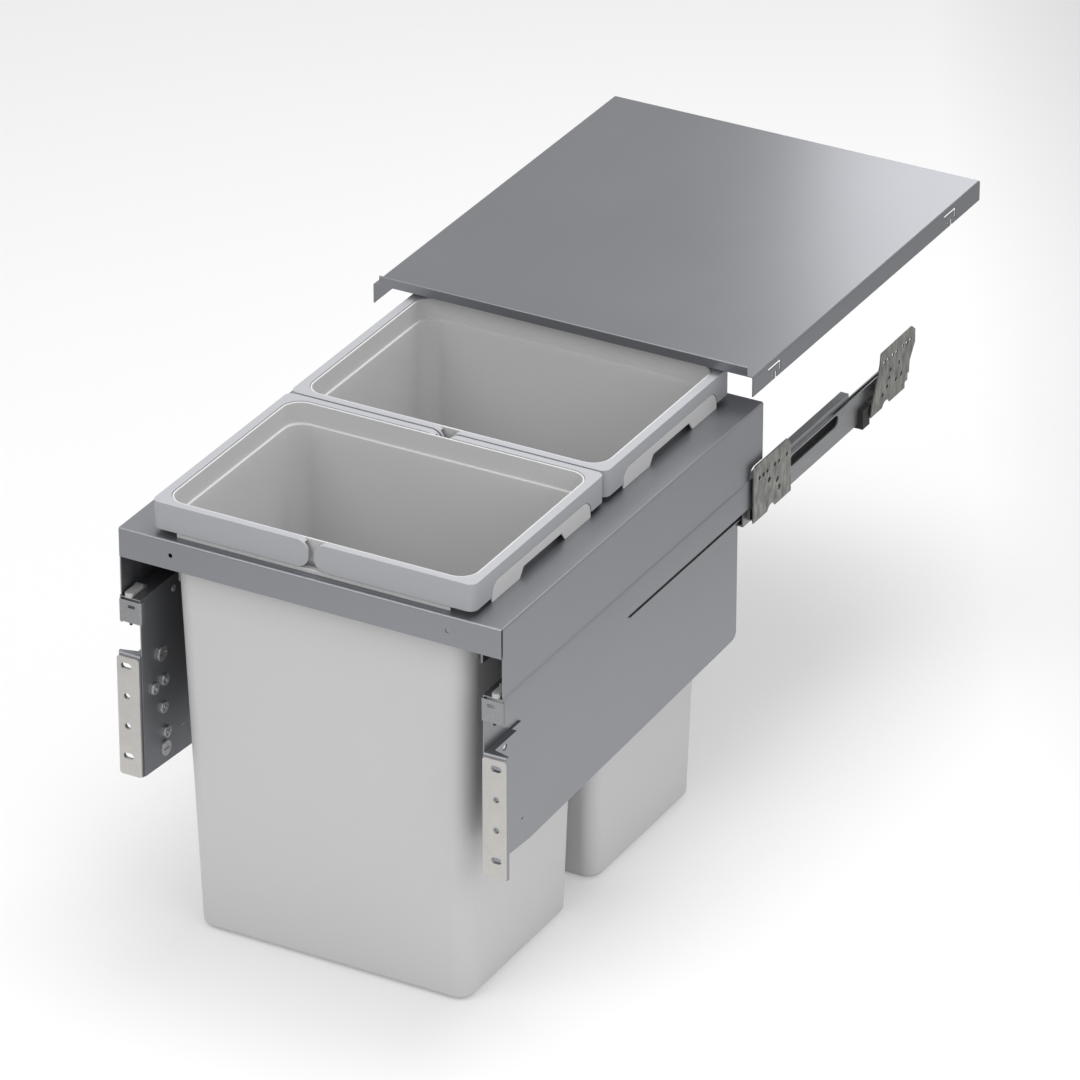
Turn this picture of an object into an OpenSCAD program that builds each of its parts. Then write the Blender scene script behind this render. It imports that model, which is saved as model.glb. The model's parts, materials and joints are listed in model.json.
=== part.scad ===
// Pull out bin frame: two bins on a sliding tray, on full extension runners.
// X runs across the cabinet, Y into it and Z up.
// The origin is on the cabinet's front edge, midway between its sides, level with the tray's deck.
// The frame is drawn pulled out by the full travel.

/* [Travel] */
// How far the frame pulls out of the cabinet
travel = 470; // [440:1:480]

/* [Cabinet] */
// Inside width of the cabinet between its sides
cabinet_w = 412; // [380:1:460]
// Gap between the tray's panels and the cabinet's sides
side_gap = 5; // [4.5:0.1:6]

/* [Tray] */
// Depth of the deck in front of the bins
front_margin = 7.2; // [6:0.1:12]
// Depth of the deck behind the bins
back_margin = 5.7; // [4:0.1:12]
// Sheet thickness of the tray, the side plates and the runner caps
sheet_t = 1.2; // [1:0.1:1.5]
// Height of the front lip
lip_h = 30; // [20:1:40]
// Height of the outer side panels
panel_h = 100; // [98:1:101]
// Height of the guides that hang from the deck beside the bins
guide_h = 63; // [40:1:100]
// How far the step stands out
step_out = 1.1; // [0.5:0.1:1.4]
// How much shorter the panel's lower part is at the back
notch_d = 27; // [15:1:40]
// Depth of the panel's upper part at the back
notch_z = 60; // [50:1:66]
// Radius in the panel's notch
notch_r = 10; // [4:1:16]
// Distance of the screw holes in the lip from the centre
lip_hole_x = 145; // [100:1:170]
// Diameter of the screw holes in the lip
lip_hole_d = 4.5; // [4:0.5:6]

/* [Side plates] */
// Width of a runner's channel, from a side plate's outer face to the panel's
channel_w = 19.8; // [19.4:0.1:20.4]
// Depth of the side plates below the deck at the front
plate_front_h = 259; // [250:1:264]
// Depth of the side plates at their lowest point
plate_low_h = 265; // [262:1:290]
// Depth of the side plates at the back
plate_back_h = 254; // [240:1:265]
// Distance from the front to the lowest point
plate_low_y = 86; // [70:1:120]
// Distance from the back of the deck to the back of the side plates
plate_back_gap = 11; // [4:1:30]
// Radius of the side plates' lower back corner
plate_corner_r = 8; // [4:1:30]

/* [Bins] */
// Length over a bin's rim
rim_l = 245.3; // [220:0.1:270]
// Gap between the two bins
bin_gap = 2.5; // [1.5:0.1:6]
// Distance from a side plate's outer face to the bins' rims
rim_gap = 12.6; // [11.5:0.1:16]
// Height of the rim above the deck
rim_h = 33; // [32:1:34]
// Depth of a bin below the deck
bin_depth = 424; // [300:1:440]
// How far a bin's body lies in from the rim at the sides
neck_in_x = 11.6; // [11.2:0.1:14]
// How far a bin's body lies in from the rim at the ends
neck_in_y = 10.65; // [10.2:0.05:13]
// How much a side wall leans in down to the floor
taper_x = 12; // [4:0.5:20]
// How much an end wall leans in down to the floor
taper_y = 13; // [4:0.5:20]
// Wall thickness of a bin
bin_wall = 2; // [1.6:0.1:2.4]
// Corner radius of a bin's body
bin_r = 16; // [10:1:22]
// Height of the ledge inside the collar
ledge_z = 11; // [8:1:14]
// Height of the feet's skirt under the handles
foot_h = 4.8; // [3:0.1:5]
// Height of the side shelf
shelf_z = 19; // [17:0.5:20]
// Height of the finger gap under the side shelf
grip_gap_h = 9.5; // [7:0.5:12]

/* [Handles] */
// Width of the handles' top flange at the sides
flange_w = 8.6; // [7.6:0.1:9.6]
// Width of the handles' top flange at the ends
flange_l = 7.5; // [6.9:0.1:8.5]
// Wall thickness of the handles
handle_t = 2.5; // [2:0.1:3]
// Height of the handle band
band_h = 27.5; // [26:0.5:28]
// Distance of the handle pivots from the centre
pivot_x = 15; // [14.5:0.5:20]
// Radius of the handles' round ends
handle_end_r = 12; // [11:0.5:12.5]
// Diameter of the pivot studs
stud_d = 8; // [6:0.5:10]

/* [Runners] */
// Length of the middle rail
middle_l = 445; // [420:1:450]
// Length of the cabinet rail
cabinet_rail_l = 350; // [340:1:380]
// Width of the middle rail
middle_w = 9; // [8.4:0.1:9.2]
// Thickness of the rails
rail_t = 1.5; // [1.2:0.1:1.6]
// Level of the top of the drawer rail below the deck
drawer_rail_z = 73.5; // [72.6:0.1:74]
// Diameter of the rollers
roller_d = 5; // [4:0.1:5.2]
// Height of the middle rail
middle_h = 33; // [32:0.2:33.4]
// Height of the cabinet rail
cabinet_rail_h = 33; // [28:0.5:33]

/* [Wall plates] */
// Thickness of the wall plates
wall_plate_t = 1.5; // [1.2:0.1:1.8]
// Distance from the cabinet's front edge to the first fixing hole
front_hole_y = 21; // [19:1:30]
// Distance from the rear plate's fixing hole to the back end of the cabinet rail
rear_hole_in = 60.5; // [60:0.5:68]
// Distance between two fixing holes
hole_pitch = 32; // [32:1:33]
// Diameter of the fixing holes
fix_hole_d = 4.6; // [4:0.1:5.4]

/* [Lid] */
// Gap between the lid and the cabinet's sides
lid_gap = 0.5; // [0.3:0.1:1.5]
// How much shorter than the deck the lid is
lid_short = 20; // [0:1:60]
// Distance of the lid from the cabinet's front edge
lid_y = 5; // [2:1:12]
// Height of the lid's underside above the deck
lid_z = 40; // [39.5:0.5:48]
// Sheet thickness of the lid
lid_t = 1; // [0.8:0.1:1.2]
// Height of the lid's side flanges
lid_flange_h = 21; // [20:1:25]
// Height of the lid's raised front edge
lid_edge_h = 9; // [5:0.5:10]

/* [Door brackets] */
// Height of the door brackets
bracket_h = 128.6; // [126:0.2:131]
// Level of the door brackets' top below the deck
bracket_z = 131; // [130:0.5:132]
// Thickness of the door brackets
bracket_t = 2; // [1.6:0.1:2]
// Width of the door brackets' front
bracket_w = 23.9; // [23:0.1:24.2]
// Depth of the bracket's arm
bracket_d = 69; // [60:1:80]
// Distance between neighbouring door screws
door_pitch = 32; // [31:0.5:33]
// Up and down adjustment of the door, each way
door_adjust = 2; // [1:0.1:2]
// Diameter of the adjusting cams
cam_d = 15.5; // [12:0.5:17]

/* [Hidden] */
$fn = 64;
left = -1;
right = 1;

// Clearances
slip = 0.2;
play = 0.3;
running = 0.08;
roller_play = 0.1;
past = 1;

// Colours
frame_paint = [0.55, 0.56, 0.57];
zinc = [0.62, 0.63, 0.61];
nickel = [0.74, 0.72, 0.69];
bin_grey = [0.76, 0.76, 0.76];
handle_grey = [0.63, 0.635, 0.655];
lid_grey = [0.62, 0.63, 0.64];
black_plastic = [0.08, 0.08, 0.08];
steel = [0.7, 0.7, 0.72];

// Tray, drawn with the lip's face at Y zero and moved out by the travel
front_y = -travel;
frame_w = cabinet_w - 2 * side_gap;
frame_d = front_margin + 2 * rim_l + bin_gap + back_margin;
half_w = frame_w / 2;
panel_in = half_w - sheet_t;
step_h = 2.2;
step_z = drawer_rail_z - sheet_t - step_h;
bend_r = 2;
lip_gap = 1;
panel_front_y = 2.2;
opening_gap = 3;
guide_grip = 0.2;

// Bins, each drawn with the middle of its rim at the origin
plates_w = frame_w - 2 * channel_w;
rim_x = plates_w / 2 - rim_gap;
rim_y = rim_l / 2;
front_bin_y = front_margin + rim_y;
rear_bin_y = front_bin_y + rim_l + bin_gap;
neck_x = rim_x - neck_in_x;
neck_y = rim_y - neck_in_y;
draft_x = taper_x / bin_depth;
draft_y = taper_y / bin_depth;
neck_r = bin_r + 4;
floor_round = 8;
slab_t = 0.02;
hole_x = neck_x + opening_gap;
hole_y = neck_y + opening_gap;
hole_r = neck_r + opening_gap;
guide_l = hole_y - hole_r;
collar_x = rim_x - flange_w - play;
collar_y = rim_y - flange_l - play;
collar_r = 20;
collar_top = rim_h - 0.5;
foot_x = rim_x - 25.6;
foot_inset = 0.5;
foot_top_t = 1.8;
foot_r = 13;
front_foot_l = 51;
back_foot_l = 48;
foot_y0 = -rim_y + 33.65;
foot_y1 = foot_y0 + front_foot_l;
foot_y3 = rim_y - 27.65;
foot_y2 = foot_y3 - back_foot_l;
grip_slope = 7;

// Handles
band_z = rim_h - band_h;
pivot_z = (rim_h + band_z) / 2;
rim_r = 8;
foot_gap = 1.4;
shelf_gap = 0.5;
hub_d = stud_d + 6;

// Runner cavity between a side plate and an outer panel
plate_out = plates_w / 2;
plate_in = plate_out - sheet_t;
plate_back_y = frame_d - plate_back_gap;
drawer_top = -drawer_rail_z;
drawer_under = drawer_top - rail_t;
drawer_wall_h = 24.5;
drawer_lip_h = 11.5;
drawer_rail_y0 = 5;
drawer_out = panel_in + step_out;
middle_x = (plate_out + panel_in) / 2;
middle_top = drawer_under - roller_d - 2 * roller_play;
middle_bottom = middle_top - middle_h;
middle_lip_h = 10;
middle_in_y = 20;
middle_y = front_y + travel / 2 + middle_in_y;
cabinet_web = middle_bottom - roller_d - 2 * roller_play;
cabinet_bottom = cabinet_web - rail_t;
outer_play = 3;
inner_play = 2.2;
cabinet_out = middle_x + middle_w / 2 + outer_play;
cabinet_in = middle_x - middle_w / 2 - inner_play;
cabinet_inner_h = 23;
cabinet_rail_y = 3.5;
window_in = [102.5, 192.5];
window_z = [19, 31];
window_mid_z = cabinet_bottom + (window_z[0] + window_z[1]) / 2;
roller_l = 7;
roller_pitch = 25;
roller_count = 5;
cage_w = 8.6;
cage_t = 1.2;
cage_end = 10;
pocket_gap = 0.15;
lower_cage_in = 46.5;
upper_cage_in = 65;
lower_cage_y = cabinet_rail_y + lower_cage_in;
upper_cage_y = middle_y + upper_cage_in;
lower_level = cabinet_web + roller_play + roller_d / 2;
upper_level = middle_top + roller_play + roller_d / 2;
rivet_d = 4;
rivet_head_d = 7;
rivet_head_h = 1.1;
rivet_tail_h = 0.6;
rail_rivet_count = 4;
rail_rivet_front = 60;
rail_rivet_back = plate_back_y - 75;
rail_rivet_step = (rail_rivet_back - rail_rivet_front) / (rail_rivet_count - 1);
rail_rivet_y = [for (i = [0 : rail_rivet_count - 1]) rail_rivet_front + i * rail_rivet_step];
rail_rivet_z = drawer_top - 13;

// Runner's front cap, its buffer and the release lever
cap_y = 0.6;
cap_back = cap_y + sheet_t;
cap_h = 23;
cap_low = drawer_under - cap_h;
cap_wrap_d = 6.8;
cap_slot = [7.2, 3];
cap_slot_in = [middle_x - 1.4, drawer_under - 6];
buffer_w = 8;
buffer_t = 3;
buffer_h = 8;
buffer_peg_d = 3;
buffer_peg_in = 1;
buffer_peg_h = 3;
plate_top = drawer_top + sheet_t;
lever_x = [middle_x - 2, middle_x + 7];
lever_y = 0.8;
lever_l = 22;
lever_h = 4.7;
lever_nose_r = 4;
lever_edge_r = 1.5;
lever_pin_d = 2;
lever_pin_y = lever_y + lever_l;
lever_pin_z = plate_top + slip + lever_h / 2;
lever_gap = 0.2;
ear_t = 1.4;
ear_l = 5;
ear_h = 5;

// Wall plates, drawn from the cabinet's front edge
wall_x = cabinet_w / 2;
wall_in = wall_x - wall_plate_t;
foot_rise = 3;
tab_gap = 4;
plate_foot_z = cabinet_bottom + foot_rise;
tab_top = -panel_h - tab_gap;
rear_hole_y = cabinet_rail_y + cabinet_rail_l - rear_hole_in;
row_step = hole_pitch / 4;
plate_rivet_z = (plate_foot_z + wall_plate_t + tab_top) / 2 + 0.4;
front_feet = [[-7, 11], [39, 57]];
rear_feet = [[-31, -15], [9, 33]];
scallop_r = 9;
scallop_drop = 4;
clip_y = [rear_hole_y - 48, rear_hole_y - 33];
clip_drop = 5;
big_hole_d = fix_hole_d + 1.4;
plate_rivet_y = concat([for (f = front_feet) front_hole_y + (f[0] + f[1]) / 2],
    [for (f = rear_feet) rear_hole_y + (f[0] + f[1]) / 2]);

// Outlines and holes of the wall plates, measured in Y from their fixing hole
front_row = [for (i = [0, 1, 2, 4, 5, 7]) [i * row_step, -73]];
front_big_holes = [[20, -84], [37, -91], [41, -101]];
front_outline = [[66, plate_foot_z], [-11.5, plate_foot_z], [-11.5, -59], [-8, -57], [57, -57], [64, -64]];
rear_row = [for (i = [-1, 0, 1.3, 2.3, 4, 5.1, 6.1]) [i * row_step, -68.3]];
rear_low_holes = [[5, -82], [24, -82], [3, -90], [18, -98], [-1, -98], [29, -97], [-11, -103]];
rear_outline = [[38, plate_foot_z], [-36, plate_foot_z], [-34, -107], [-17, -68], [-15, -56],
    [52, -55], [59, -61], [59, -75], [48, -91], [47, -103], [38, -104]];

// Lid
lid_x = cabinet_w / 2 - lid_gap;
lid_d = frame_d - lid_short;
lid_bend = 2;
lid_edge_in = 6.5;
lid_bead_d = 2;
snap_w = 2.6;
snap_l = 26;
snap_h = 11;
snap_top = 5.5;
hook_y = [lid_y + 31, lid_y + lid_d - 80];
hook_slot_w = 3;
hook_slot_h = 7;
hook_slot_in = 8;
hook_hole_d = 3;
hook_hole = [9.5, 4.5];

// Door brackets
bracket_in = plate_out + slip;
bracket_out = bracket_in + bracket_w;
bracket_y = -1.7;
bracket_back = bracket_y + bracket_t;
bracket_low = -bracket_z - bracket_h;
bracket_r = 3;
bracket_drop = 3;
arm_return_y = bracket_y + 7;
arm_bend_r = 3;
arm_back = bracket_y + bracket_d;
ledge_out = bracket_in + bracket_t + 5;
ledge_bend = 9;
ledge_l = 50;
door_hole_x = bracket_in + 14;
door_hole_d = 6.4;
door_slot_l = 11;
door_hole_top = bracket_z + 12.5;
cam_turn = 60;
cam_throw = door_adjust / sin(cam_turn);
cam_stub_d = 5;
cam_stub_end = bracket_in + bracket_t - 0.8;
cam_journal_d = 10;
cam_t = 2.5;
cam_slot = [1.6, 1.2];
upper_cam = [35, -143.4];
lower_cam = [37, -245];
cam_play = 0.3;
clamp_screws = [[39, -173], [21, -174], [36, -201], [40, -229]];
screw_d = 5;
screw_head_d = 12;
screw_head_h = 2.6;
screw_slot = [1.8, 1.4];
relief_slot_w = 1.2;
relief_slot = [[64, lower_cam[1] + 8], [74, lower_cam[1] + 8]];

// Draws its children on the right, or mirrored on the left
module on_side(side) {
    if (side == right) children();
    else mirror([1, 0, 0]) children();
}

// Moves what is drawn from the lip's face out with the tray
module pulled_out() {
    translate([0, front_y, 0]) children();
}

// A block between two opposite corners
module block(low, high) {
    translate(low) cube(high - low);
}

// Extrudes an outline in X and Z along Y
module along_y(y0, y1) {
    translate([0, y1, 0]) rotate([90, 0, 0]) linear_extrude(height = y1 - y0) children();
}

// Extrudes an outline in Y and Z along X
module along_x(x0, x1) {
    translate([x0, 0, 0]) rotate([90, 0, 90]) linear_extrude(height = x1 - x0) children();
}

// A rectangle between two opposite corners
module box2(low, high) {
    translate(low) square(high - low);
}

// A round rod along X through a point given in Y and Z
module rod_x(at, x0, x1, d) {
    translate([x0, at[0], at[1]]) rotate([0, 90, 0]) cylinder(h = x1 - x0, d = d);
}

// A round rod along Y through a point given in X and Z
module rod_y(at, y0, y1, d) {
    translate([at[0], y0, at[1]]) rotate([-90, 0, 0]) cylinder(h = y1 - y0, d = d);
}

// A rectangle with round corners, given by its half sizes
module plan(hx, hy, r) {
    square([2 * hx, 2 * (hy - r)], center = true);
    square([2 * (hx - r), 2 * hy], center = true);
    for (x = [-1, 1], y = [-1, 1]) translate([x * (hx - r), y * (hy - r)]) circle(r);
}

// A slot with round ends between two points on one level
module slot2(from, to, w) {
    for (p = [from, to]) translate(p) circle(d = w);
    if (from[1] == to[1]) box2([from[0], from[1] - w / 2], [to[0], to[1] + w / 2]);
    else box2([from[0] - w / 2, from[1]], [to[0] + w / 2, to[1]]);
}

// Folded sheet with two openings, a front lip and a panel down each side
module tray_section() {
    box2([-half_w + bend_r, -sheet_t], [half_w - bend_r, 0]);
    for (m = [0, 1]) mirror([m, 0]) {
        translate([half_w - bend_r, -bend_r]) intersection() {
            difference() {
                circle(bend_r);
                circle(bend_r - sheet_t);
            }
            square(bend_r);
        }
        polygon([[half_w, -bend_r], [half_w, -step_z], [half_w + step_out, -step_z - step_h],
            [half_w + step_out, -panel_h], [drawer_out, -panel_h], [drawer_out, -step_z - step_h],
            [panel_in, -step_z], [panel_in, -bend_r]]);
    }
}

module lip_section() {
    box2([bend_r, -sheet_t], [panel_front_y + past, 0]);
    translate([bend_r, -bend_r]) intersection() {
        difference() {
            circle(bend_r);
            circle(bend_r - sheet_t);
        }
        box2([-bend_r, 0], [0, bend_r]);
    }
    box2([0, -lip_h], [sheet_t, -bend_r]);
}

module back_notch() {
    y = frame_d - notch_d;
    translate([y + notch_r, -notch_z - notch_r]) circle(notch_r);
    box2([y, -panel_h - past], [frame_d + past, -notch_z - notch_r]);
    box2([y + notch_r, -panel_h - past], [frame_d + past, -notch_z]);
}

// Guides that the sides of the openings are turned down into, with the sheet folded double
module guides() {
    for (side = [left, right], y = [front_bin_y, rear_bin_y]) on_side(side)
        block([hole_x + guide_grip - 2 * sheet_t, y - guide_l, -guide_h],
            [hole_x + guide_grip, y + guide_l, -sheet_t / 2]);
}

module frame_tray() color(frame_paint) pulled_out() {
    difference() {
        union() {
            along_y(panel_front_y, frame_d) tray_section();
            along_x(-half_w + lip_gap, half_w - lip_gap) lip_section();
        }
        for (y = [front_bin_y, rear_bin_y])
            translate([0, y, -sheet_t - past]) linear_extrude(height = sheet_t + 2 * past)
                plan(hole_x, hole_y, hole_r);
        for (x = [-lip_hole_x, lip_hole_x])
            rod_y([x, -lip_h / 2], -past, sheet_t + past, lip_hole_d);
        along_x(-half_w - past, half_w + past) back_notch();
    }
    guides();
}

// Side plate: a deep sheet with a top flange on the runner, which carries a door bracket
module plate_outline() {
    back_corner = [plate_back_y - plate_corner_r, -plate_back_h + plate_corner_r];
    difference() {
        polygon([[panel_front_y, plate_top], [panel_front_y, -plate_front_h],
            [plate_low_y, -plate_low_h], [plate_back_y, -plate_back_h], [plate_back_y, plate_top]]);
        difference() {
            box2([back_corner[0], -plate_low_h - past], [plate_back_y + past, back_corner[1]]);
            translate(back_corner) circle(plate_corner_r);
        }
    }
}

module clamp_slots() {
    for (p = clamp_screws)
        slot2([p[0], p[1] - door_adjust - play], [p[0], p[1] + door_adjust + play], screw_d + 2 * play);
}

module side_plate(side) color(frame_paint) pulled_out() on_side(side) difference() {
    union() {
        along_x(plate_in, plate_out) plate_outline();
        block([plate_in, panel_front_y, drawer_top], [drawer_out, plate_back_y, plate_top]);
        for (x = [lever_x[0] - lever_gap - ear_t, lever_x[1] + lever_gap])
            block([x, lever_pin_y - ear_l / 2, drawer_top],
                [x + ear_t, lever_pin_y + ear_l / 2, plate_top + ear_h]);
    }
    rod_x([lever_pin_y, lever_pin_z], lever_x[0] - 2 * ear_t, lever_x[1] + 2 * ear_t, lever_pin_d);
    for (p = [upper_cam, lower_cam])
        rod_x(p, plate_in - past, plate_out + past, cam_journal_d + 2 * running);
    for (y = rail_rivet_y) rod_x([y, rail_rivet_z], plate_in - past, plate_out + past, rivet_d);
    along_x(plate_in - past, plate_out + past) {
        clamp_slots();
        slot2(relief_slot[0], relief_slot[1], relief_slot_w);
    }
}

// Drawer rail: the runner's upper member, riveted to the side plate
module drawer_section() {
    box2([plate_out, drawer_top - drawer_wall_h], [plate_out + rail_t, drawer_top]);
    box2([plate_out, drawer_under], [drawer_out, drawer_top]);
    box2([drawer_out - rail_t, drawer_top - drawer_lip_h], [drawer_out, drawer_top]);
}

module drawer_rail(side) color(zinc) pulled_out() on_side(side) difference() {
    along_y(drawer_rail_y0, plate_back_y) drawer_section();
    for (y = rail_rivet_y) rod_x([y, rail_rivet_z], plate_out - past, plate_out + rail_t + past, rivet_d);
}

// Cap over the front end of a runner, bent round the side plate's edge
module rail_front_cap(side) color(zinc) pulled_out() on_side(side) difference() {
    translate([0, 0, cap_low]) linear_extrude(height = cap_h) {
        box2([plate_in - sheet_t + bend_r, cap_y], [half_w + step_out, cap_back]);
        box2([plate_in - sheet_t, cap_y + bend_r], [plate_in, cap_y + cap_wrap_d]);
        translate([plate_in - sheet_t + bend_r, cap_y + bend_r]) intersection() {
            difference() {
                circle(bend_r);
                circle(bend_r - sheet_t);
            }
            box2([-bend_r, -bend_r], [0, 0]);
        }
    }
    translate([cap_slot_in[0] - cap_slot[0] / 2, cap_y - past, cap_slot_in[1] - cap_slot[1] / 2])
        cube([cap_slot[0], sheet_t + 2 * past, cap_slot[1]]);
}

// Soft buffer behind each cap, with a peg that shows below it
module cap_buffers() color(black_plastic) pulled_out()
    for (side = [left, right]) on_side(side) {
        block([middle_x - buffer_w / 2, cap_back, cap_low],
            [middle_x + buffer_w / 2, cap_back + buffer_t, cap_low + buffer_h]);
        translate([middle_x + buffer_peg_in, cap_back + buffer_t / 2, cap_low - buffer_peg_h])
            cylinder(h = buffer_peg_h, d = buffer_peg_d);
    }

// Lever that releases the frame from its runner: a rounded bar that swings on a pin
module lever_plan() {
    box2([lever_x[0], lever_y + lever_nose_r], [lever_x[1], lever_pin_y]);
    box2([lever_x[0] + lever_nose_r, lever_y], [lever_x[1] - lever_nose_r, lever_y + lever_nose_r]);
    for (x = [lever_x[0] + lever_nose_r, lever_x[1] - lever_nose_r])
        translate([x, lever_y + lever_nose_r]) circle(lever_nose_r);
}

module release_lever(side) color(steel) pulled_out() on_side(side) difference() {
    union() {
        intersection() {
            translate([0, 0, plate_top + slip]) linear_extrude(height = lever_h) lever_plan();
            along_y(lever_y, lever_pin_y) translate([(lever_x[0] + lever_x[1]) / 2, lever_pin_z])
                plan((lever_x[1] - lever_x[0]) / 2, lever_h / 2, lever_edge_r);
        }
        rod_x([lever_pin_y, lever_pin_z], lever_x[0], lever_x[1], lever_h);
    }
    rod_x([lever_pin_y, lever_pin_z], lever_x[0] - past, lever_x[1] + past, lever_pin_d + 2 * running);
}

module lever_pins() color(steel) pulled_out()
    for (side = [left, right]) on_side(side)
        rod_x([lever_pin_y, lever_pin_z], lever_x[0] - lever_gap - ear_t,
            lever_x[1] + lever_gap + ear_t, lever_pin_d);

module rivet(at, x0, x1) {
    rod_x(at, x0, x1, rivet_d);
    rod_x(at, x0 - rivet_head_h, x0, rivet_head_d);
    rod_x(at, x1, x1 + rivet_tail_h, rivet_head_d - 1);
}

module frame_rivets() color(steel) pulled_out()
    for (side = [left, right], y = rail_rivet_y) on_side(side)
        rivet([y, rail_rivet_z], plate_in, plate_out + rail_t);

// Holes for the door's screws: two round ones between two level slots
module door_holes() {
    for (i = [1, 2]) translate([door_hole_x, -door_hole_top - i * door_pitch]) circle(d = door_hole_d);
    for (i = [0, 3])
        slot2([door_hole_x - (door_slot_l - door_hole_d) / 2, -door_hole_top - i * door_pitch],
            [door_hole_x + (door_slot_l - door_hole_d) / 2, -door_hole_top - i * door_pitch], door_hole_d);
}

// Door bracket: plate that the cabinet's door is screwed to
module door_bracket(side) color(nickel) pulled_out() on_side(side) {
    plate_h = bracket_h - bracket_drop;
    along_y(bracket_y, bracket_back) difference() {
        translate([(bracket_in + bracket_out) / 2, bracket_low + plate_h / 2])
            plan(bracket_w / 2, plate_h / 2, bracket_r);
        door_holes();
    }
}

// Arm behind the door bracket, clamped to the side plate
module arm_side() {
    difference() {
        box2([bracket_back, bracket_low], [arm_back, -bracket_z]);
        for (p = clamp_screws) translate(p) circle(d = screw_d);
        for (p = [upper_cam, lower_cam]) cam_window(p);
    }
}

// Opening that a cam's stub pushes up and down while it swings to and fro
module cam_window(p) {
    slot2([p[0] + cam_throw * cos(cam_turn) - cam_play, p[1]], [p[0] + cam_throw + cam_play, p[1]],
        cam_stub_d + 2 * cam_play);
}

// Outline that rounds one corner of a block, given by that corner and the size of the block
module round_corner(size, r) {
    translate([r, r]) circle(r);
    box2([0, r], [size[0], size[1]]);
    box2([r, 0], [size[0], r]);
}

// Room that the arm is bent within, round at its top and along its outer edge
module arm_room() intersection() {
    along_x(bracket_in, bracket_out) translate([bracket_back, -bracket_z]) mirror([0, 1])
        round_corner([bracket_d, bracket_h], arm_bend_r);
    translate([0, 0, bracket_low]) linear_extrude(height = bracket_h)
        translate([bracket_out, bracket_back]) mirror([1, 0])
            round_corner([bracket_w, bracket_d], arm_bend_r);
}

module bracket_arm(side) color(frame_paint) pulled_out() on_side(side) intersection() {
    arm_room();
    union() {
        along_y(bracket_back, bracket_back + bracket_t) difference() {
            box2([bracket_in, bracket_low], [bracket_out, -bracket_z]);
            door_holes();
        }
        along_x(bracket_in, bracket_in + bracket_t) arm_side();
        block([bracket_out - bracket_t, bracket_back, bracket_low],
            [bracket_out, arm_return_y, -bracket_z]);
        translate([0, 0, -bracket_z - bracket_t]) linear_extrude(height = bracket_t)
            polygon([[bracket_in, bracket_back], [bracket_out, bracket_back],
                [bracket_out, arm_return_y], [bracket_out - bracket_t, arm_return_y],
                [ledge_out, bracket_back + ledge_bend], [ledge_out, ledge_l], [bracket_in, ledge_l]]);
    }
}

// Adjusting cam: disc, journal and an off-centre stub that moves the bracket
module cam(at, side) color(nickel) pulled_out() on_side(side) difference() {
    union() {
        rod_x(at, plate_in - slip - cam_t, plate_in - slip, cam_d);
        rod_x(at, plate_in - slip, plate_out, cam_journal_d);
        rod_x([at[0] + cam_throw, at[1]], plate_out - sheet_t / 2, cam_stub_end, cam_stub_d);
    }
    translate([plate_in - slip - cam_t - past, at[0] - cam_d / 3, at[1] - cam_slot[0] / 2])
        cube([past + cam_slot[1], 2 * cam_d / 3, cam_slot[0]]);
}

module bracket_screws(side) color(steel) pulled_out() on_side(side) for (p = clamp_screws) difference() {
    union() {
        rod_x(p, plate_in - slip - screw_head_h, plate_in - slip, screw_head_d);
        rod_x(p, plate_in - slip, bracket_in + bracket_t, screw_d);
    }
    for (a = [0, 90]) translate([plate_in - slip - screw_head_h - past, p[0], p[1]]) rotate([45 + a, 0, 0])
        translate([0, -screw_head_d / 3, -screw_slot[0] / 2])
            cube([past + screw_slot[1], 2 * screw_head_d / 3, screw_slot[0]]);
}

// Middle rail: section open to the outside that runs half as far as the tray
module middle_section() {
    x0 = middle_x - middle_w / 2;
    x1 = middle_x + middle_w / 2;
    box2([x0, middle_top - rail_t], [x1, middle_top]);
    box2([x0, middle_bottom], [x0 + rail_t, middle_top]);
    box2([x1 - rail_t, middle_top - middle_lip_h], [x1, middle_top]);
    box2([x0, middle_bottom], [x1, middle_bottom + rail_t]);
}

module middle_rail(side) color(zinc) on_side(side)
    along_y(middle_y, middle_y + middle_l) middle_section();

// Rollers of one cage, and the cage around them
module rollers(y0, level) {
    for (i = [0 : roller_count - 1])
        rod_x([y0 + cage_end + i * roller_pitch, level], middle_x - roller_l / 2,
            middle_x + roller_l / 2, roller_d);
}

module cage(y0, level) difference() {
    block([middle_x - cage_w / 2, y0, level - cage_t / 2],
        [middle_x + cage_w / 2, y0 + 2 * cage_end + (roller_count - 1) * roller_pitch, level + cage_t / 2]);
    for (i = [0 : roller_count - 1]) {
        y = y0 + cage_end + i * roller_pitch;
        block([middle_x - roller_l / 2 - pocket_gap, y - roller_d / 2 - pocket_gap, level - cage_t],
            [middle_x + roller_l / 2 + pocket_gap, y + roller_d / 2 + pocket_gap, level + cage_t]);
    }
}

module lower_cage(side) color(black_plastic) on_side(side) cage(lower_cage_y, lower_level);
module upper_cage(side) color(black_plastic) on_side(side) cage(upper_cage_y, upper_level);
module lower_rollers(side) color(steel) on_side(side) rollers(lower_cage_y, lower_level);
module upper_rollers(side) color(steel) on_side(side) rollers(upper_cage_y, upper_level);

// Cabinet rail: the runner's fixed lower member
module cabinet_section() {
    box2([cabinet_in, cabinet_bottom], [cabinet_out, cabinet_web]);
    box2([cabinet_out - rail_t, cabinet_bottom], [cabinet_out, cabinet_bottom + cabinet_rail_h]);
    box2([cabinet_in, cabinet_bottom], [cabinet_in + rail_t, cabinet_bottom + cabinet_inner_h]);
}

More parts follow.
